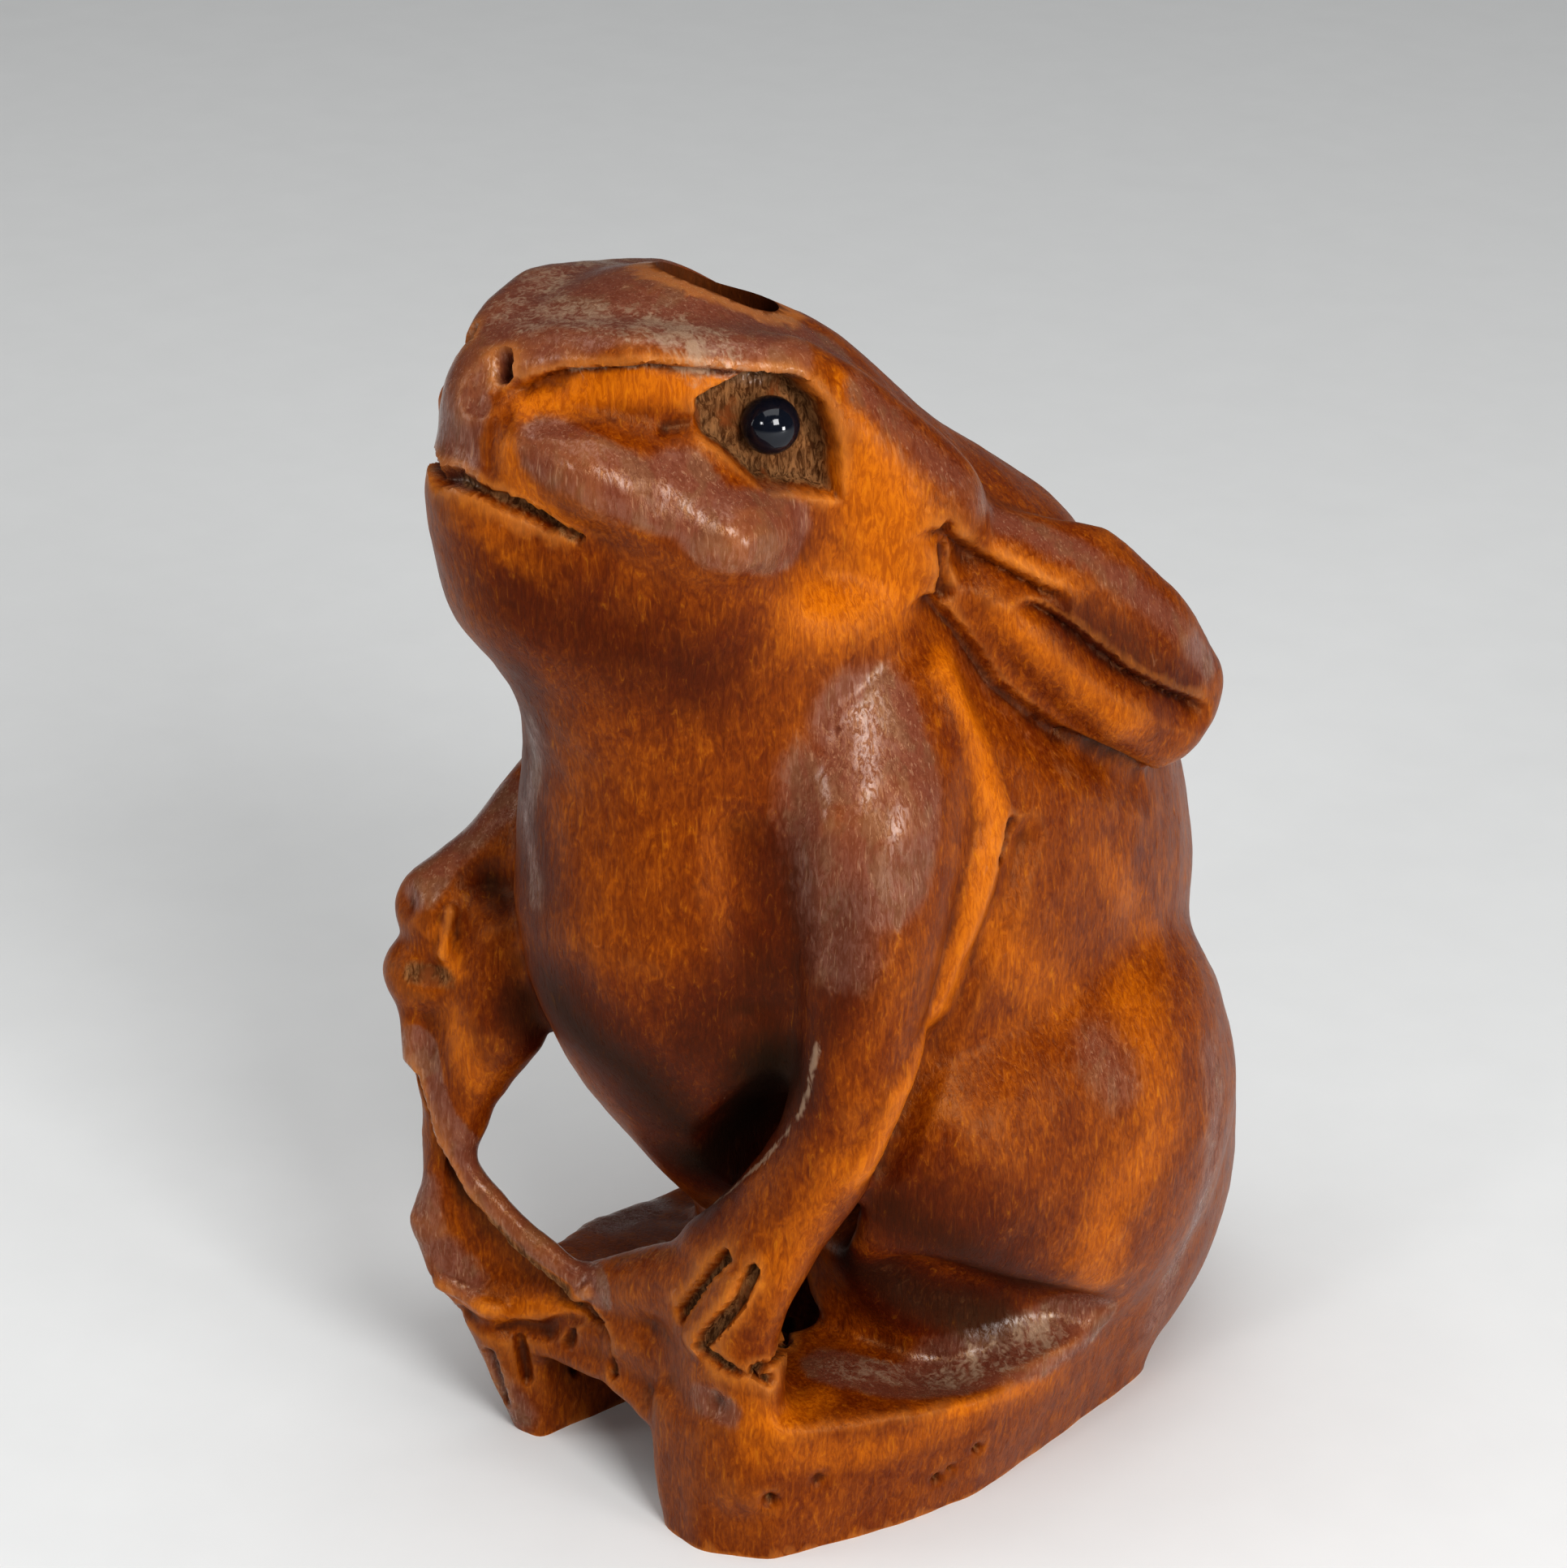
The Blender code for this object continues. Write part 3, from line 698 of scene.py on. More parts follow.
# The left eye socket's outline in the view. Its floor, seen along the head's aside axis, is a
# middle level and its slopes forward and up
SOCKET = (
    (828, 512), (880, 483), (942, 458), (990, 463), (1022, 495), (1040, 550),
    (1040, 618), (958, 610), (876, 590), (862, 540),
)
SOCKET_FLOOR = (2.84, -0.1, -0.12)
SOCKET_WALL = 0.26

# Steps cut down on one side of a route
LEDGES = (
    # mirror, towards, width, depth, edge, route in the view
    ("head", (0, 0, -1), 1.3, 0.46, 0.12,
        ((645, 466), (700, 452), (800, 446), (900, 455), (955, 460))),
    ("body", (0, -0.5, -1), 0.9, 0.5, 0.12, ((1172, 655), (1230, 685), (1290, 718))),
    ("body", (0, -0.5, -1), 0.8, 0.45, 0.12,
        ((1293, 745), (1390, 820), (1450, 850), (1476, 860))),
    ("body", (0, -0.5, -1), 1.2, 0.4, 0.15,
        ((1160, 735), (1190, 770), (1240, 840), (1310, 895), (1420, 945))),
    ("one", (-0.6, -0.6, -1), 1.6, 0.6, 0.12,
        ((516, 1326), (539, 1406), (577, 1473), (637, 1542), (690, 1587), (738, 1622))),
)

# Grooves, and ridges where the depth is negative
GROOVES = (
    # mirror, width, depth, sharpness, route in the view
    ("head", 1.1, 0.12, 1.5, ((665, 512), (740, 518), (845, 526))),
    ("head", 0.5, 0.16, 1.0, ((822, 527), (872, 520))),
    ("head", 0.4, -0.1, 1.0, ((720, 474), (800, 468), (880, 474))),
    ("head", 0.5, 0.6, 0.7, ((619, 441), (617, 457))),
    ("one", 0.9, 0.14, 1.0, ((604, 462), (586, 490))),
    ("head", 0.6, 0.07, 1.5, ((640, 470), (612, 520), (605, 575))),
    ("head", 0.4, 0.4, 0.5, ((6.2, 0.0, -0.1), (560, 588), (640, 625), (680, 646))),
    ("head", 0.24, 0.28, 0.7, ((660, 636), (712, 664))),
    ("body", 0.5, 0.3, 1.0, ((1170, 655), (1166, 735))),
    ("one", 1.8, 0.24, 2.0, ((906, 1030), (915, 1130), (925, 1240))),
    ("one", 1.2, -0.14, 1.5,
        ((1165, 830), (1200, 930), (1228, 1010), (1200, 1120), (1160, 1240), (1105, 1350),
         (1065, 1440))),
    ("one", 1.4, 0.22, 2.0,
        ((1262, 1040), (1240, 1110), (1197, 1200), (1152, 1290), (1122, 1350), (1090, 1430))),
    ("one", 0.5, 0.22, 1.0, ((1246, 1016), (1238, 1056))),
    ("one", 0.34, 0.36, 0.5, ((893, 1548), (838, 1618))),
    ("one", 0.34, 0.36, 0.5, ((927, 1567), (912, 1603), (868, 1652))),
    ("one", 0.34, 0.36, 0.5, ((975, 1633), (961, 1663), (931, 1690))),
    ("one", 0.3, 0.3, 0.6, ((863, 1660), (893, 1684), (950, 1700))),
    ("one", 0.9, -0.14, 1.0, ((905, 1590), (855, 1650))),
    ("one", 0.35, -0.2, 1.0, ((556, 1122), (547, 1176))),
    ("one", 0.2, 0.15, 0.7, ((529, 1429), (529, 1448))),
    ("one", 0.6, 0.22, 1.0, ((572, 1620), (625, 1640), (670, 1642), (720, 1618))),
    ("one", 0.5, -0.15, 1.0, ((545, 1580), (600, 1612), (670, 1614), (725, 1592))),
    ("one", 0.4, 0.2, 1.0, ((603, 1668), (622, 1725))),
    ("one", 0.35, 0.2, 1.0, ((640, 1650), (650, 1700))),
    ("one", 0.35, 0.2, 1.0, ((700, 1640), (712, 1690))),
    ("one", 0.35, 0.2, 1.0, ((740, 1650), (755, 1690))),
)

# Round scoops
DISHES = (
    # mirror, radius, depth, place in the view
    ("head", 0.8, 0.12, ((740, 668),)), ("head", 0.9, -0.1, ((712, 562),)),
    ("head", 0.9, -0.14, ((908, 662),)), ("head", 0.6, 0.1, ((815, 622),)),
    ("body", 0.8, 0.35, ((1195, 700),)), ("one", 0.7, 0.4, ((600, 1090),)),
    ("one", 0.5, 0.25, ((498, 1112),)), ("one", 0.5, 0.3, ((530, 1200),)),
    ("one", 0.24, 0.3, ((950, 1850),)), ("one", 0.24, 0.14, ((1010, 1823),)),
    ("one", 0.18, 0.24, ((1155, 1822),)), ("one", 0.18, 0.24, ((1205, 1785),)),
    ("one", 0.16, 0.14, ((1172, 1810),)), ("one", 0.5, 0.25, ((880, 1730),)),
    ("one", 1.3, 0.2, ((1150, 1690),)),
)

# The finish and the painted light and shade, as masks laid along routes in the view
PATCHES = {
    # for each mirror: radius, softness, strength, route
    ("patina", "head"): (
        (1.1, 0.3, 1.0, ((600, 420), (700, 398), (850, 395), (940, 425))),
        (0.6, 0.25, 1.0, ((572, 500), (556, 560), (566, 570))),
        (0.6, 0.4, 1.0, ((640, 360), (760, 350), (850, 354), (940, 386))),
        (0.7, 0.5, 0.8, ((870, 378), (960, 400), (1020, 430))),
        (0.7, 0.4, 1.0, ((675, 548), (750, 590), (830, 620))),
        (0.85, 0.4, 1.0, ((840, 600), (890, 650), (970, 655))),
        (0.5, 0.5, 0.7, ((1060, 480), (1130, 550), (1210, 620))),
    ),
    ("patina", "body"): (
        (1.2, 0.7, 1.0, ((1070, 890), (1105, 980), (1090, 1080))),
        (0.9, 0.8, 0.75, ((1000, 960), (1010, 1080), (1040, 1180))),
        (0.4, 0.4, 0.8, ((1230, 640), (1330, 680), (1420, 745), (1490, 820))),
        (0.4, 0.5, 0.4, ((1190, 800), (1260, 890), (1330, 960))),
        (0.9, 0.8, 0.6, ((1352, 1294), (1380, 1330))),
        (0.6, 0.7, 0.6, ((1490, 1300), (1475, 1500), (1420, 1630))),
    ),
    ("patina", "one"): (
        (0.6, 0.3, 0.9, ((620, 985), (560, 1040), (515, 1090))),
        (0.5, 0.5, 0.6, ((660, 900), (650, 1000), (660, 1100))),
        (0.5, 0.15, 1.0,
            ((512, 1290), (538, 1370), (582, 1440), (660, 1525), (735, 1590))),
        (0.5, 0.4, 0.8, ((520, 1470), (530, 1530), (575, 1580))),
        (0.5, 0.4, 0.8, ((600, 1680), (640, 1740))),
        (0.75, 0.4, 1.0,
            ((1030, 1685), (1100, 1700), (1200, 1685), (1280, 1655), (1335, 1620))),
        (0.8, 0.5, 0.8, ((745, 1505), (790, 1482))), (0.4, 0.3, 0.9, ((865, 1725), (895, 1740))),
    ),
    ("amber", "head"): (
        (0.45, 0.49, 1.0, ((655, 490), (740, 480), (830, 480), (930, 468))),
        (0.15, 0.28, 1.0, ((600, 468), (582, 488))),
        (0.35, 0.49, 0.9, ((625, 560), (645, 600), (700, 645))),
        (0.4, 0.7, 0.7, ((600, 660), (660, 705))),
        (0.4, 0.56, 0.8, ((1040, 470), (1070, 540), (1080, 610))),
    ),
    ("amber", "body"): (
        (1.0, 1.26, 1.0, ((1075, 590), (1100, 650), (1095, 720), (1010, 745))),
        (0.3, 0.56, 0.7, ((1230, 675), (1330, 730))),
        (0.4, 0.7, 0.8, ((1240, 760), (1330, 845), (1400, 900))),
        (0.8, 1.26, 0.7, ((1230, 1150), (1300, 1230))),
        (1.1, 1.4, 0.65, ((1400, 1230), (1430, 1400), (1370, 1480), (1345, 1570))),
        (0.6, 0.7, 0.6, ((930, 1790), (1080, 1790), (1200, 1740), (1310, 1690))),
        (0.2, 0.21, 1.0, ((1172, 1742), (1270, 1705), (1330, 1650), (1362, 1612))),
        (0.8, 1.4, 0.6, ((1350, 1050), (1420, 1150))),
    ),
    # Lighter wood where the stain is thin; the first band, down the left arm's back edge, is
    # painted light, a lit band
    ("amber", "one"): (
        (0.45, 0.49, 1.0,
            ((1165, 820), (1195, 900), (1225, 1010), (1205, 1100), (1165, 1230), (1110, 1350),
             (1060, 1450))),
        (0.7, 0.9, 0.6, ((1040, 1440), (990, 1520), (960, 1600))),
        (0.8, 1.68, 0.5, ((730, 1060), (760, 1150))), (0.5, 0.7, 0.8, ((560, 1260), (590, 1330))),
        (0.25, 0.28, 1.0, ((545, 1150), (560, 1200))),
        (0.2, 0.28, 1.0, ((600, 1492), (680, 1566), (735, 1606))),
        (0.35, 0.42, 0.9, ((560, 1590), (620, 1622), (700, 1612))),
        (0.5, 0.7, 0.8, ((890, 1730), (960, 1760), (1010, 1720))),
        (0.4, 0.5, 0.7, ((945, 1560), (900, 1620))),
    ),
    # Painted shade: the black hollow behind the belly's tip, under the belly, beside the chest and
    # throat, on the far arm's dark facet and in the recess by the haunch
    ("deep", "one"): (
        (0.7, 0.9, 0.45, ((965, 1050), (985, 1150), (960, 1230))),
        (0.9, 1.3, 0.9, ((690, 1240), (780, 1320), (850, 1390))),
        (1.1, 1.0, 1.0, ((950, 1310), (920, 1370), (870, 1430))),
        (1.0, 1.2, 0.5, ((950, 1200), (870, 1290))),
        (0.5, 0.8, 0.35, ((640, 830), (650, 960), (670, 1100))),
        (0.7, 0.9, 0.7, ((1100, 1490), (1180, 1535), (1270, 1580))),
        (0.5, 0.5, 0.6, ((640, 1240), (660, 1270))),
        (0.5, 0.6, 0.4, ((1000, 1290), (1040, 1220), (1040, 1120))),
        (0.7, 1.0, 0.3, ((650, 860), (640, 980), (660, 1120))),
        (0.35, 0.5, 0.4, ((595, 1080), (620, 1110))),
        (0.7, 0.6, 0.8, ((1050, 1560), (1130, 1600), (1220, 1625))),
    ),
    # Painted shade on the throat under the jaw
    ("deep", "head"): (
        (0.8, 1.4, 0.45, ((640, 740), (760, 800), (860, 830))),
    ),
    # Painted shade on the lower haunch and along a ledge on the back
    ("deep", "body"): (
        (0.9, 1.2, 0.4, ((1140, 1480), (1240, 1540))),
        (0.5, 0.5, 0.35, ((1320, 760), (1400, 810), (1460, 850))),
    ),
    # Grime with painted shade: dark in the mouth and the nostril
    ("grime_and_shade", "head"): (
        (0.16, 0.1, 0.8, ((560, 588), (640, 625), (704, 660))),
        (0.1, 0.08, 1.0, ((616, 444), (617, 448))),
    ),
    # Grime with painted shade: dark in the finger slots, the toe pits, the gaps by the leaf and the
    # recess by the haunch
    ("grime_and_shade", "one"): (
        (0.13, 0.08, 0.9, ((893, 1548), (838, 1618))),
        (0.15, 0.1, 0.9, ((927, 1567), (912, 1603), (868, 1652))),
        (0.15, 0.1, 0.9, ((975, 1633), (961, 1663), (931, 1690))),
        (0.12, 0.1, 0.9, ((863, 1660), (893, 1684), (950, 1700))),
        (0.5, 0.6, 0.35, ((1085, 1560), (1130, 1590), (1200, 1610))),
        (0.35, 0.3, 0.8, ((600, 1505), (660, 1562), (700, 1594))),
        (0.4, 0.5, 0.5, ((760, 1550), (830, 1545))), (0.3, 0.25, 0.7, ((508, 1198), (548, 1206))),
        (0.1, 0.15, 0.8, ((950, 1850), (950, 1852))),
        (0.08, 0.1, 0.8, ((1155, 1822), (1156, 1822))),
        (0.08, 0.1, 0.8, ((1205, 1785), (1206, 1785))),
        (0.2, 0.3, 0.5, ((700, 1640), (712, 1690), (760, 1690))),
    ),
    # Painted sheen on the snout top and a painted highlight strip under the brow
    ("pale", "head"): (
        (0.9, 0.8, 0.55, ((660, 395), (760, 395), (880, 425))),
        (0.1, 0.14, 0.8, ((700, 459), (800, 456), (880, 463))),
    ),
    # Paler wear on the foot top, and a painted highlight along the left arm's inner edge
    ("pale", "one"): (
        (0.6, 0.5, 0.5, ((1040, 1690), (1180, 1690), (1290, 1645))),
        (0.07, 0.12, 1.0,
            ((1008, 1290), (988, 1370), (945, 1425), (885, 1478), (815, 1530))),
    ),
}

# The masks, and what each is where no patch lies
GROUND = {"patina": 0.0, "amber": 0.32, "deep": 0.0, "grime_and_shade": 0.0, "pale": 0.0}


def carve(skin, sight):
    """All the knife work on the smooth skin. Returns where the sockets' rough floors are."""
    for knife, cuts in ((skin.ledge, LEDGES), (skin.groove, GROOVES), (skin.dish, DISHES)):
        for mirror, *sizes, places in cuts:
            for route in sight.routes(mirror, places):
                knife(route, *sizes)
    floors = np.zeros(len(skin.places))
    to_head = head_matrix().inverted()
    corners = [(to_head @ (sight.point(place) * UNIT)) / UNIT for place in SOCKET]
    corners = [(corner.x, corner.z) for corner in corners]
    for side in (1, -1):
        floor = [side * value for value in SOCKET_FLOOR]
        share = skin.pit(corners, head_matrix(), floor, SOCKET_WALL)
        floors = np.maximum(floors, share)
    return floors


def painted(skin, sight, name):
    """One mask of the finish or of the painted light and shade, laid over the skin before it is
    carved.
    """
    mask = np.full(len(skin.places), GROUND[name])
    for mirror in ("one", *MIRRORS):
        for radius, soft, strength, places in PATCHES.get((name, mirror), ()):
            for route in sight.routes(mirror, places):
                mask = np.maximum(mask, strength * skin.patch(route, radius, soft))
    return mask


def eyeball(name, side, radius):
    ball = bmesh.new()
    place = Matrix.Translation(eye_centre(side) + figure_shift())
    bmesh.ops.create_icosphere(ball, subdivisions=5, radius=radius, matrix=place)
    eye = linked(name, ball)
    eye.data.shade_smooth()
    return eye


def cord_hole(width):
    """A round cutter from the crown to the underside."""
    top = in_head(*CROWN_HOLE)
    bottom = units(*UNDER_HOLE)
    axis = (top - bottom).to_track_quat("Z", "Y").to_matrix().to_4x4()
    place = Matrix.Translation((top + bottom) / 2) @ axis
    ends = {"radius1": width / 2, "radius2": width / 2, "depth": CUTTER_LENGTH}
    part = bmesh.new()
    bmesh.ops.create_cone(part, cap_ends=True, segments=96, matrix=place, **ends)
    return linked("cord_hole_cutter", part)


def floor_cutter():
    """A block under the floor, whose top is level with it."""
    place = Matrix.Translation((0, 0, -FLOOR_CUTTER_SIDE / 2))
    part = bmesh.new()
    bmesh.ops.create_cube(part, size=FLOOR_CUTTER_SIDE, matrix=place)
    return linked("floor_cutter", part)


def laid(name, masses, grain, passes, base=None):
    """Fuse masses into one object, together with what they are laid on."""
    clay = Clay(base)
    for mass in masses:
        mass(clay)
    return fused(linked(name, clay.mesh), grain, passes)


def laid_up(settings):
    """Fuse the masses at a coarse grain, as the solid is, and then refine the skin."""
    coarse = 2 * settings.grain
    seat = laid("seat", (rump,), coarse, 0)
    cut(seat, laid("hollow_cutter", (hollows, near_recess), coarse, CUTTER_PASSES))
    body = laid("body", (trunk, head), coarse, BODY_PASSES, seat)
    cut(body, laid("shadow_cutter", (belly_shadow,), coarse, CUTTER_PASSES))
    limbs = (near_foreleg, far_foreleg, feet, ears, toe_bridge, leaf)
    figure = laid("hare_carving", limbs, coarse, LIMB_PASSES, body)
    return fused(figure, settings.grain, SKIN_PASSES)


# Finishes

class Nodes:
    """Adds nodes to a tree and wires them up."""

    def __init__(self, tree):
        self.tree = tree

    def feed(self, node, inputs):
        """Link or set a node's sockets."""
        for name, value in inputs.items():
            socket = node.inputs[name]
            if isinstance(value, bpy.types.NodeSocket):
                self.tree.links.new(value, socket)
            else:
                socket.default_value = value

    def add(self, kind, inputs=None, **settings):
        node = self.tree.nodes.new(kind)
        for name, value in settings.items():
            setattr(node, name, value)
        self.feed(node, inputs or {})
        return node

    def math(self, operation, first, second, third=0.0, clamp=False):
        inputs = {0: first, 1: second, 2: third}
        return self.add("ShaderNodeMath", inputs, operation=operation, use_clamp=clamp).outputs[0]

    def plus(self, total, value, share, clamp=False):
        """The total with a share of a value added to it."""
        return self.math("MULTIPLY_ADD", value, share, total, clamp)

    def fade(self, value, low, high):
        """Zero below the low mark, one above the high one, smooth between."""
        inputs = {"Value": value, "From Min": low, "From Max": high}
        node = self.add("ShaderNodeMapRange", inputs, interpolation_type="SMOOTHSTEP")
        return node.outputs["Result"]

    def blend(self, mask, first, second, strength=1.0, kind="MIX"):
        """Lay the second colour over the first where the mask says, at most that strongly."""
        share = self.math("MULTIPLY", mask, strength)
        inputs = {0: share}
        for slot, value in ((6, first), (7, second)):
            inputs[slot] = value if isinstance(value, bpy.types.NodeSocket) else (*value, 1.0)
        return self.add("ShaderNodeMix", inputs, data_type="RGBA", blend_type=kind).outputs[2]

    def noise(self, place, scale, detail=3.0, roughness=0.55, warp=0.0):
        """A noise that is stretched where the scale is three numbers."""
        if isinstance(scale, tuple):
            inputs = {0: place, 1: scale}
            place = self.add("ShaderNodeVectorMath", inputs, operation="MULTIPLY").outputs[0]
            scale = 1.0
        inputs = {"Vector": place, "Scale": scale, "Detail": detail, "Roughness": roughness}
        inputs["Distortion"] = warp
        return self.add("ShaderNodeTexNoise", inputs).outputs["Fac"]

    def mask(self, name):
        return self.add("ShaderNodeAttribute", attribute_name=name).outputs["Fac"]

    def group(self, tree, **inputs):
        return self.add("ShaderNodeGroup", inputs, node_tree=tree).outputs

    def bump(self, height, strength, distance):
        inputs = {"Height": height, "Strength": strength, "Distance": distance}
        return self.add("ShaderNodeBump", inputs).outputs[0]

    def torn(self, name, ragged, amount, low, high):
        """A mask with a ragged edge."""
        return self.fade(self.plus(self.mask(name), ragged, amount), low, high)

    def millimetres(self):
        """Object coordinates in millimetres."""
        inputs = {0: self.add("ShaderNodeTexCoord").outputs["Object"], "Scale": 1 / UNIT}
        return self.add("ShaderNodeVectorMath", inputs, operation="SCALE").outputs[0]


def new_material(name):
    """A material, its nodes and its shader."""
    material = bpy.data.materials.new(name)
    material.use_nodes = True
    return material, Nodes(material.node_tree), material.node_tree.nodes["Principled BSDF"]


def shared_group(name, fill, inputs, outputs):
    """A node group with named sockets, made the first time that it is asked for."""
    if name not in bpy.data.node_groups:
        tree = bpy.data.node_groups.new(name, "ShaderNodeTree")
        for socket, kind in inputs.items():
            tree.interface.new_socket(socket, in_out="INPUT", socket_type=kind)
        for socket in outputs:
            tree.interface.new_socket(socket, in_out="OUTPUT", socket_type="NodeSocketFloat")
        nodes = Nodes(tree)
        nodes.add("NodeGroupOutput", fill(nodes, nodes.add("NodeGroupInput").outputs))
    return bpy.data.node_groups[name]


def fibre_group():
    """Wood fibre: fine streaks that run up the figure, a slower mottling and flecks."""
    def fill(nodes, start):
        return {
            "Streaks": nodes.noise(start["Place"], (7.5, 7.5, 2.0), 5.0, 0.68, 1.2),
            "Mottle": nodes.noise(start["Place"], (1.3, 1.3, 0.7), 4.0, 0.6, 0.4),
            "Flecks": nodes.noise(start["Place"], (5.0, 5.0, 2.6), 2.0, 0.5, 1.5),
        }

    inputs = {"Place": "NodeSocketVector"}
    return shared_group("Wood fibre", fill, inputs, ("Streaks", "Mottle", "Flecks"))


def scratch_group():
    """Handling scratches: short crossing hairlines, for wood and inlay alike."""
    def fill(nodes, start):
        lines = []
        for lean, spread in (((0.5, 0.2, 0.9), 0.0), ((-0.6, 0.5, 0.4), 7.3)):
            place = {"Vector": start["Place"], "Location": (spread, spread, 0)}
            place.update({"Rotation": lean, "Scale": (14.0, 14.0, 1.6)})
            place = nodes.add("ShaderNodeMapping", place).outputs[0]
            lines.append(nodes.fade(nodes.noise(place, 1.0, 2.0, 0.5, 0.6), 0.60, 0.74))
        total = nodes.math("MAXIMUM", *lines)
        return {"Hairlines": nodes.math("MULTIPLY", total, start["Amount"], clamp=True)}

    inputs = {"Place": "NodeSocketVector", "Amount": "NodeSocketFloat"}
    return shared_group("Handling scratches", fill, inputs, ("Hairlines",))


def boxwood(settings):
    material, nodes, shader = new_material("stained_boxwood")
    blend, fade, mask, plus, torn = nodes.blend, nodes.fade, nodes.mask, nodes.plus, nodes.torn
    place = nodes.millimetres()
    fibre = nodes.group(fibre_group(), Place=place)
    streaks, mottle, flecks = (fibre[name] for name in ("Streaks", "Mottle", "Flecks"))
    hairlines = nodes.group(scratch_group(), Place=place, Amount=1.0)["Hairlines"]
    ragged = plus(plus(-0.6, flecks, 0.6), mottle, 0.6)
    # The deep mask is painted shade, laid where shade falls in hollows, under the belly and on the
    # throat
    deep = mask("deep")

    # Amber where the stain is thin, brown where it is thick, and brown too under the painted shade
    thin = plus(plus(mask("amber"), ragged, 0.8), deep, -0.7)
    wood = blend(fade(thin, 0.0, 1.0), settings.brown, settings.amber)
    dark_streak = fade(streaks, 0.60, 0.38)
    wood = blend(dark_streak, wood, (0.46, 0.30, 0.2), 0.6, "MULTIPLY")
    wood = blend(fade(streaks, 0.56, 0.76), wood, (0.80, 0.34, 0.01), 0.2)

    worn = torn("patina", ragged, 0.8, 0.25, 0.75)
    dull = fade(mottle, 0.48, 0.62)
    burnished = blend(dull, settings.patina, (0.16, 0.085, 0.045), 0.5)
    burnished = blend(hairlines, burnished, (0.42, 0.24, 0.15), 0.4)
    burnished = blend(dark_streak, burnished, (0.5, 0.35, 0.3), 0.35, "MULTIPLY")
    wood = blend(worn, wood, burnished, 0.85)

    # Painted shade: nearly black where the deep mask lies
    wood = blend(deep, wood, (0.05, 0.02, 0.01), 1.0, "MULTIPLY")
    # Painted shade: darker in creases and hollows
    wood = blend(mask("crease"), wood, (0.22, 0.12, 0.07), 0.85, "MULTIPLY")
    # Painted highlight: a lighter orange on convex edges, kept off the painted shade
    edge = plus(mask("edge"), deep, -1.5, clamp=True)
    wood = blend(edge, wood, (0.70, 0.26, 0.05), 0.3)

    # Grime, which is also painted shade in slots, pits and recesses
    dirt_and_shade = torn("grime_and_shade", ragged, 0.8, 0.3, 0.75)
    fibres = blend(fade(streaks, 0.38, 0.64), settings.grime_and_shade, (0.24, 0.12, 0.05))
    fibres = blend(fade(mottle, 0.54, 0.66), fibres, (0.16, 0.045, 0.012))
    wood = blend(dirt_and_shade, wood, fibres, 0.85)
    # Painted highlight and sheen, with some paler wear, in a greyish pink
    pale = torn("pale", ragged, 1.8, 0.3, 0.8)
    wood = blend(pale, wood, (0.36, 0.25, 0.17), 0.6)

    gloss = plus(0.2, streaks, 0.3)
    for layer, share in ((worn, -0.12), (hairlines, 0.12), (deep, 0.3)):
        gloss = plus(gloss, layer, share)
    gloss = plus(gloss, dirt_and_shade, 0.4, clamp=True)
    broken = nodes.math("MULTIPLY", worn, fade(streaks, 0.42, 0.6))
    relief = plus(nodes.math("MULTIPLY", streaks, 0.8), hairlines, -0.5)
    relief = plus(relief, flecks, 0.6)
    nodes.feed(shader, {
        "Base Color": wood,
        "Roughness": gloss,
        "Coat Weight": nodes.math("MULTIPLY", broken, 0.7),
        "Normal": nodes.bump(relief, 0.3, 0.00005),
        "IOR": 1.36,
        "Specular Tint": (1.0, 0.60, 0.30, 1.0),
        "Coat IOR": 1.45,
        "Coat Roughness": 0.26,
    })
    return material


def polished_horn(settings):
    material, nodes, shader = new_material("black_inlay")
    place = nodes.millimetres()
    hairlines = nodes.group(scratch_group(), Place=place, Amount=0.6)["Hairlines"]
    cloud = nodes.noise(place, 2.6, 2.0)
    tone = nodes.blend(cloud, settings.horn, (0.010, 0.014, 0.024), 0.4)
    nodes.feed(shader, {
        "Base Color": nodes.blend(hairlines, tone, (0.03, 0.033, 0.04), 0.3),
        "Roughness": nodes.plus(0.09, hairlines, 0.2),
        "Normal": nodes.bump(hairlines, 0.15, 0.00001),
        "IOR": 1.42,
        "Coat Weight": 0.1,
        "Coat Roughness": 0.05,
    })
    return material


# Operators

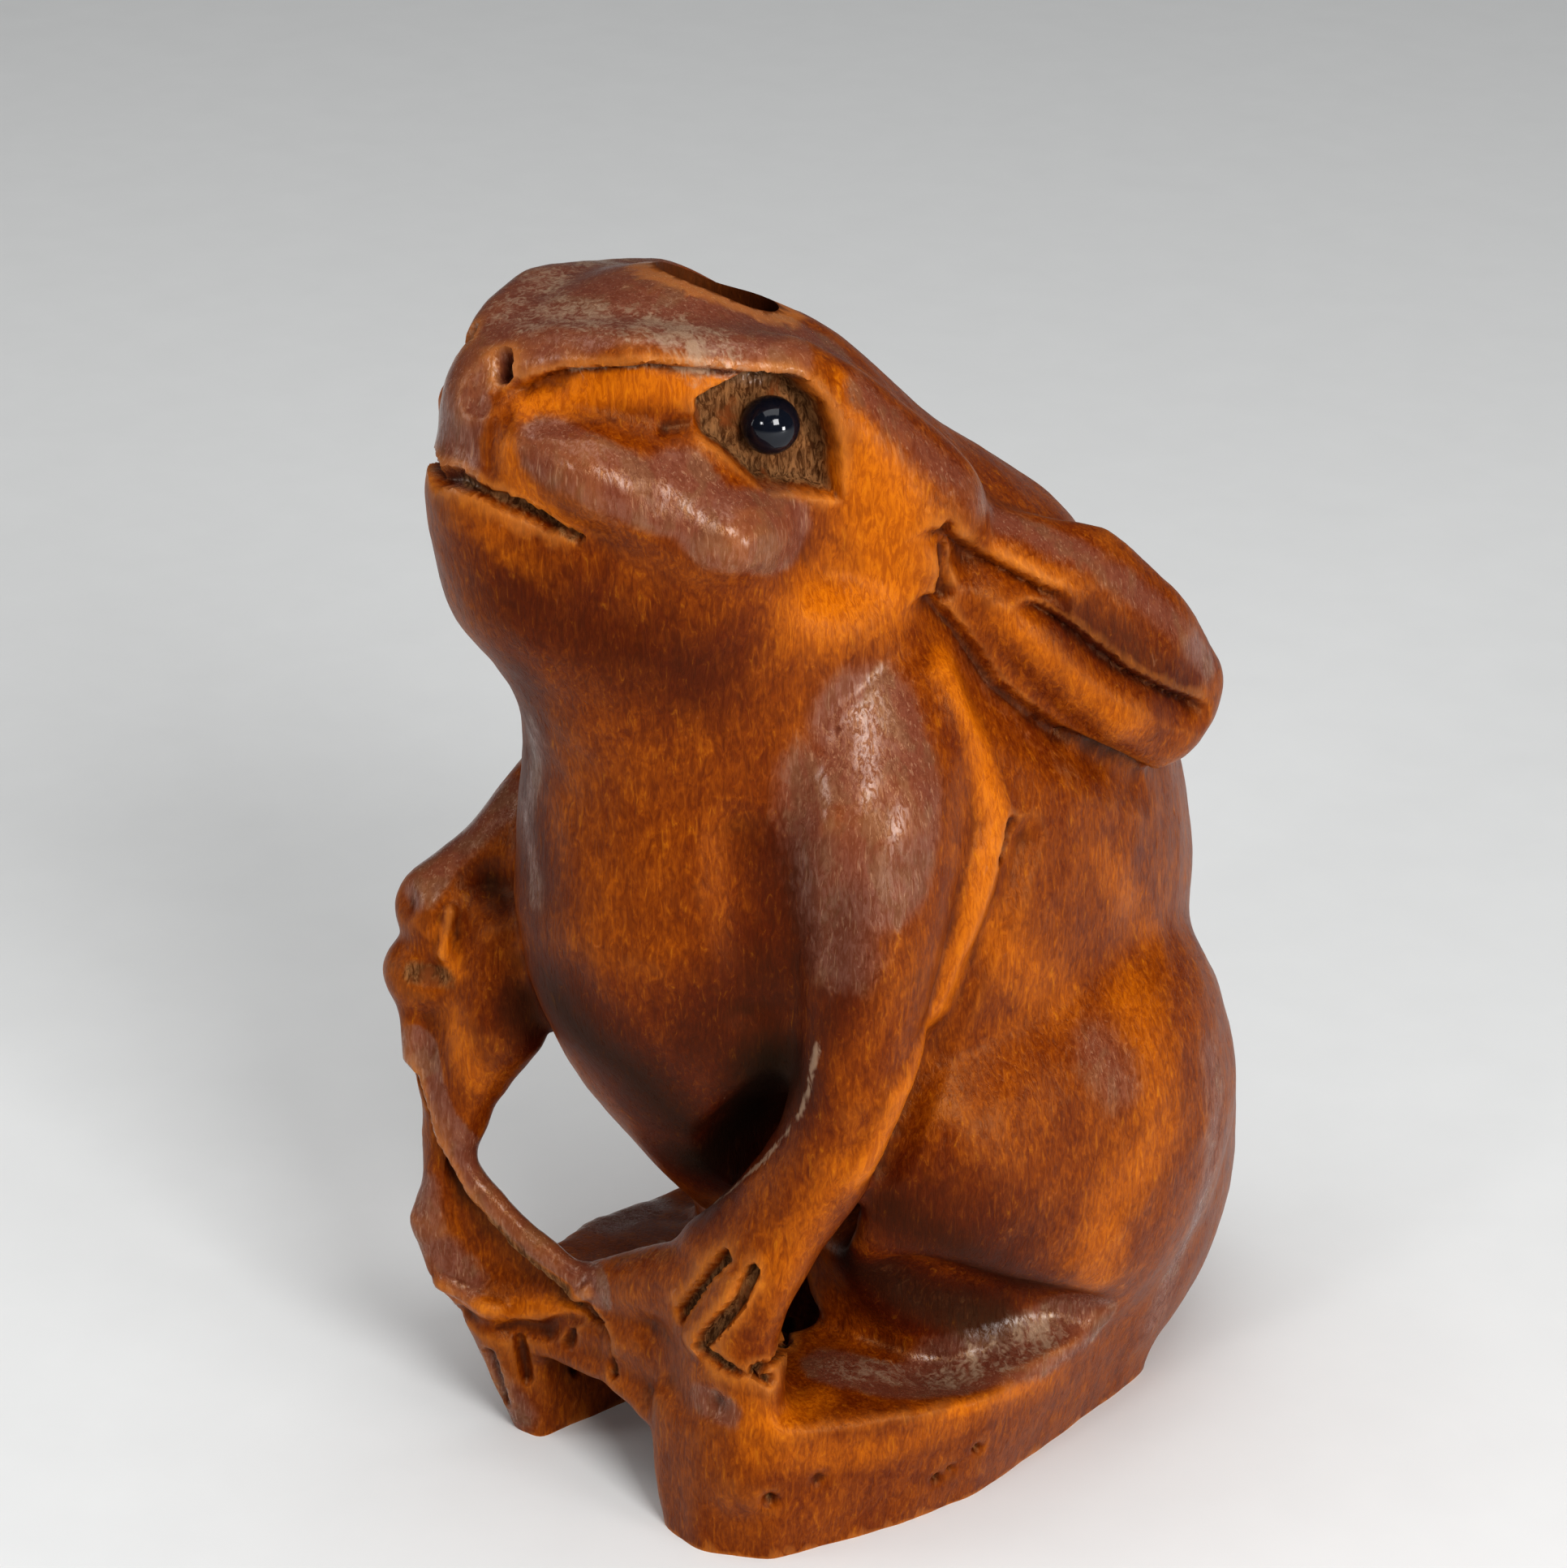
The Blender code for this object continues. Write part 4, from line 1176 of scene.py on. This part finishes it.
class BEAD_OT_figure(bpy.types.Operator):
    """Lay up, carve and finish the figure"""

    bl_idname = "bead.figure"
    bl_label = "Carved figure"

    def execute(self, context):
        settings = context.scene.bead_figure
        view = context.scene.bead_stage
        figure = laid_up(settings)
        sight = Sight(figure, view.azimuth, view.elevation, view.distance)
        skin = Skin(figure)
        masks = {name: painted(skin, sight, name) for name in GROUND}
        floors = carve(skin, sight)
        # The sockets' rough floors take the grime too, which also paints the shade under their rims
        masks["grime_and_shade"] = np.maximum(masks["grime_and_shade"], floors)
        skin.finish()
        everywhere = np.ones(len(skin.places))
        skin.roughen(everywhere, 1.7, 0.045)
        skin.roughen(everywhere, 0.5, 0.010, (1, 1, 1.8))
        skin.roughen(np.maximum(floors, 0.3 * masks["grime_and_shade"]), 0.26, 0.08)
        skin.finish()
        carved = skin.places

        share = settings.triangles / (2 * len(figure.data.polygons))
        if share < 1:
            settled(figure, [("DECIMATE", {"ratio": share, "use_collapse_triangulate": True})])
        cut(figure, cord_hole(settings.cord_hole))
        cut(figure, floor_cutter())

        skin = Skin(figure)
        lie = skin.hollowness(5)
        # The crease mask paints shade in hollows, and the edge mask paints a highlight on convex
        # edges
        skin.mark("crease", (lie - CREASE_FROM) / CREASE_OVER)
        skin.mark("edge", (-lie - EDGE_FROM) / EDGE_OVER)
        sources = nearest_of(carved, skin.places)
        masks = {name: mask[sources] for name, mask in masks.items()}
        above, below = in_head(*CROWN_HOLE) / UNIT, Vector(UNDER_HOLE)
        axis_gap, _ = skin.nearest([above.lerp(below, -0.3), below])
        bore = axis_gap < settings.cord_hole / UNIT / 2 + BORE_MARGIN
        # Painted shade inside the cord hole
        for name, inside in (("deep", 0.55), ("patina", 0.0), ("amber", 0.1)):
            masks[name] = np.where(bore, inside, masks[name])
        for name, mask in masks.items():
            skin.mark(name, mask)
        skin.places += np.array(figure_shift() / UNIT)
        low, high = (np.array(corner) / UNIT for corner in CAD_BOX)
        skin.places = np.clip(skin.places, low, high)
        skin.finish()

        figure.data.shade_smooth()
        figure.data.set_sharp_from_angle(angle=SHARP_ANGLE)
        figure.data.materials.clear()
        figure.data.materials.append(boxwood(context.scene.bead_finish))
        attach(figure, "root")
        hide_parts("carved_hare")
        return {"FINISHED"}


class BEAD_OT_eyes(bpy.types.Operator):
    """Set the two inlaid eyes"""

    bl_idname = "bead.eyes"
    bl_label = "Inlaid eyes"

    def execute(self, context):
        material = polished_horn(context.scene.bead_finish)
        radius = context.scene.bead_figure.eye_width / 2
        for side, word in ((1, "left"), (-1, "right")):
            eye = eyeball(f"inlaid_eye_{word}", side, radius)
            eye.data.materials.append(material)
            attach(eye, "root")
            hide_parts(f"eye_{word}")
        return {"FINISHED"}


class BEAD_OT_stage(bpy.types.Operator):
    """Set the floor, the soft lights and the camera"""

    bl_idname = "bead.stage"
    bl_label = "Stage"

    def execute(self, context):
        settings = context.scene.bead_stage
        self.floor(settings)
        self.lights(settings)
        self.camera(context, settings)
        return {"FINISHED"}

    def floor(self, settings):
        """A wide plain floor."""
        part = bmesh.new()
        bmesh.ops.create_grid(part, x_segments=1, y_segments=1, size=FLOOR_REACH)
        floor = linked("floor", part)
        material, nodes, shader = new_material("pale_floor")
        cloud = nodes.noise(nodes.millimetres(), 0.4, 3.0)
        tone = nodes.blend(cloud, settings.floor, (0.4, 0.4, 0.4), 0.1)
        nodes.feed(shader, {"Base Color": tone, "Roughness": 0.8})
        floor.data.materials.append(material)

    def lights(self, settings):
        world = bpy.context.scene.world or bpy.data.worlds.new("studio")
        bpy.context.scene.world = world
        world.use_nodes = True
        sky = world.node_tree.nodes["Background"]
        sky.inputs[0].default_value = SKY_COLOUR
        sky.inputs[1].default_value = settings.sky
        for name, (azimuth, elevation, distance, size, share) in LAMPS.items():
            lamp = bpy.data.lights.new(name, "AREA")
            lamp.shape = "SQUARE"
            lamp.size = size
            lamp.energy = settings.key * share
            towards = seen_from(math.radians(azimuth), math.radians(elevation))
            face(placed(name, lamp), units(*LAMP_AIM), towards, distance)

    def camera(self, context, settings):
        lens = bpy.data.cameras.new("camera")
        lens.sensor_width = 36
        lens.lens = lens.sensor_width / (2 * VIEW_SLOPE)
        lens.clip_start = 0.001
        camera = placed("camera", lens)
        towards = seen_from(settings.azimuth, settings.elevation)
        face(camera, units(*VIEW_AIM) + figure_shift(), towards, settings.distance)
        context.scene.camera = camera
        context.scene.view_settings.view_transform = "Standard"
        context.scene.view_settings.look = "Medium High Contrast"


class BEAD_PT_panel(bpy.types.Panel):
    bl_label = "Carved bead"
    bl_idname = "BEAD_PT_panel"
    bl_space_type = "VIEW_3D"
    bl_region_type = "UI"
    bl_category = "Bead"

    def draw(self, context):
        for step in STEPS:
            self.layout.operator(step.bl_idname)
        for group in GROUPS:
            settings = getattr(context.scene, group)
            box = self.layout.box()
            for name in settings.bl_rna.properties.keys():
                if name not in ("rna_type", "name"):
                    box.prop(settings, name)


STEPS = (BEAD_OT_figure, BEAD_OT_eyes, BEAD_OT_stage)
GROUPS = {
    "bead_figure": FigureSettings,
    "bead_finish": FinishSettings,
    "bead_stage": StageSettings,
}


def register():
    for kind in (*GROUPS.values(), *STEPS, BEAD_PT_panel):
        bpy.utils.register_class(kind)
    for name, kind in GROUPS.items():
        setattr(bpy.types.Scene, name, bpy.props.PointerProperty(type=kind))


def unregister():
    for name in GROUPS:
        delattr(bpy.types.Scene, name)
    for kind in (BEAD_PT_panel, *reversed(STEPS), *GROUPS.values()):
        bpy.utils.unregister_class(kind)


def main():
    register()
    bpy.ops.bead.figure()
    bpy.ops.bead.eyes()
    bpy.ops.bead.stage()


if __name__ == "__main__":
    main()
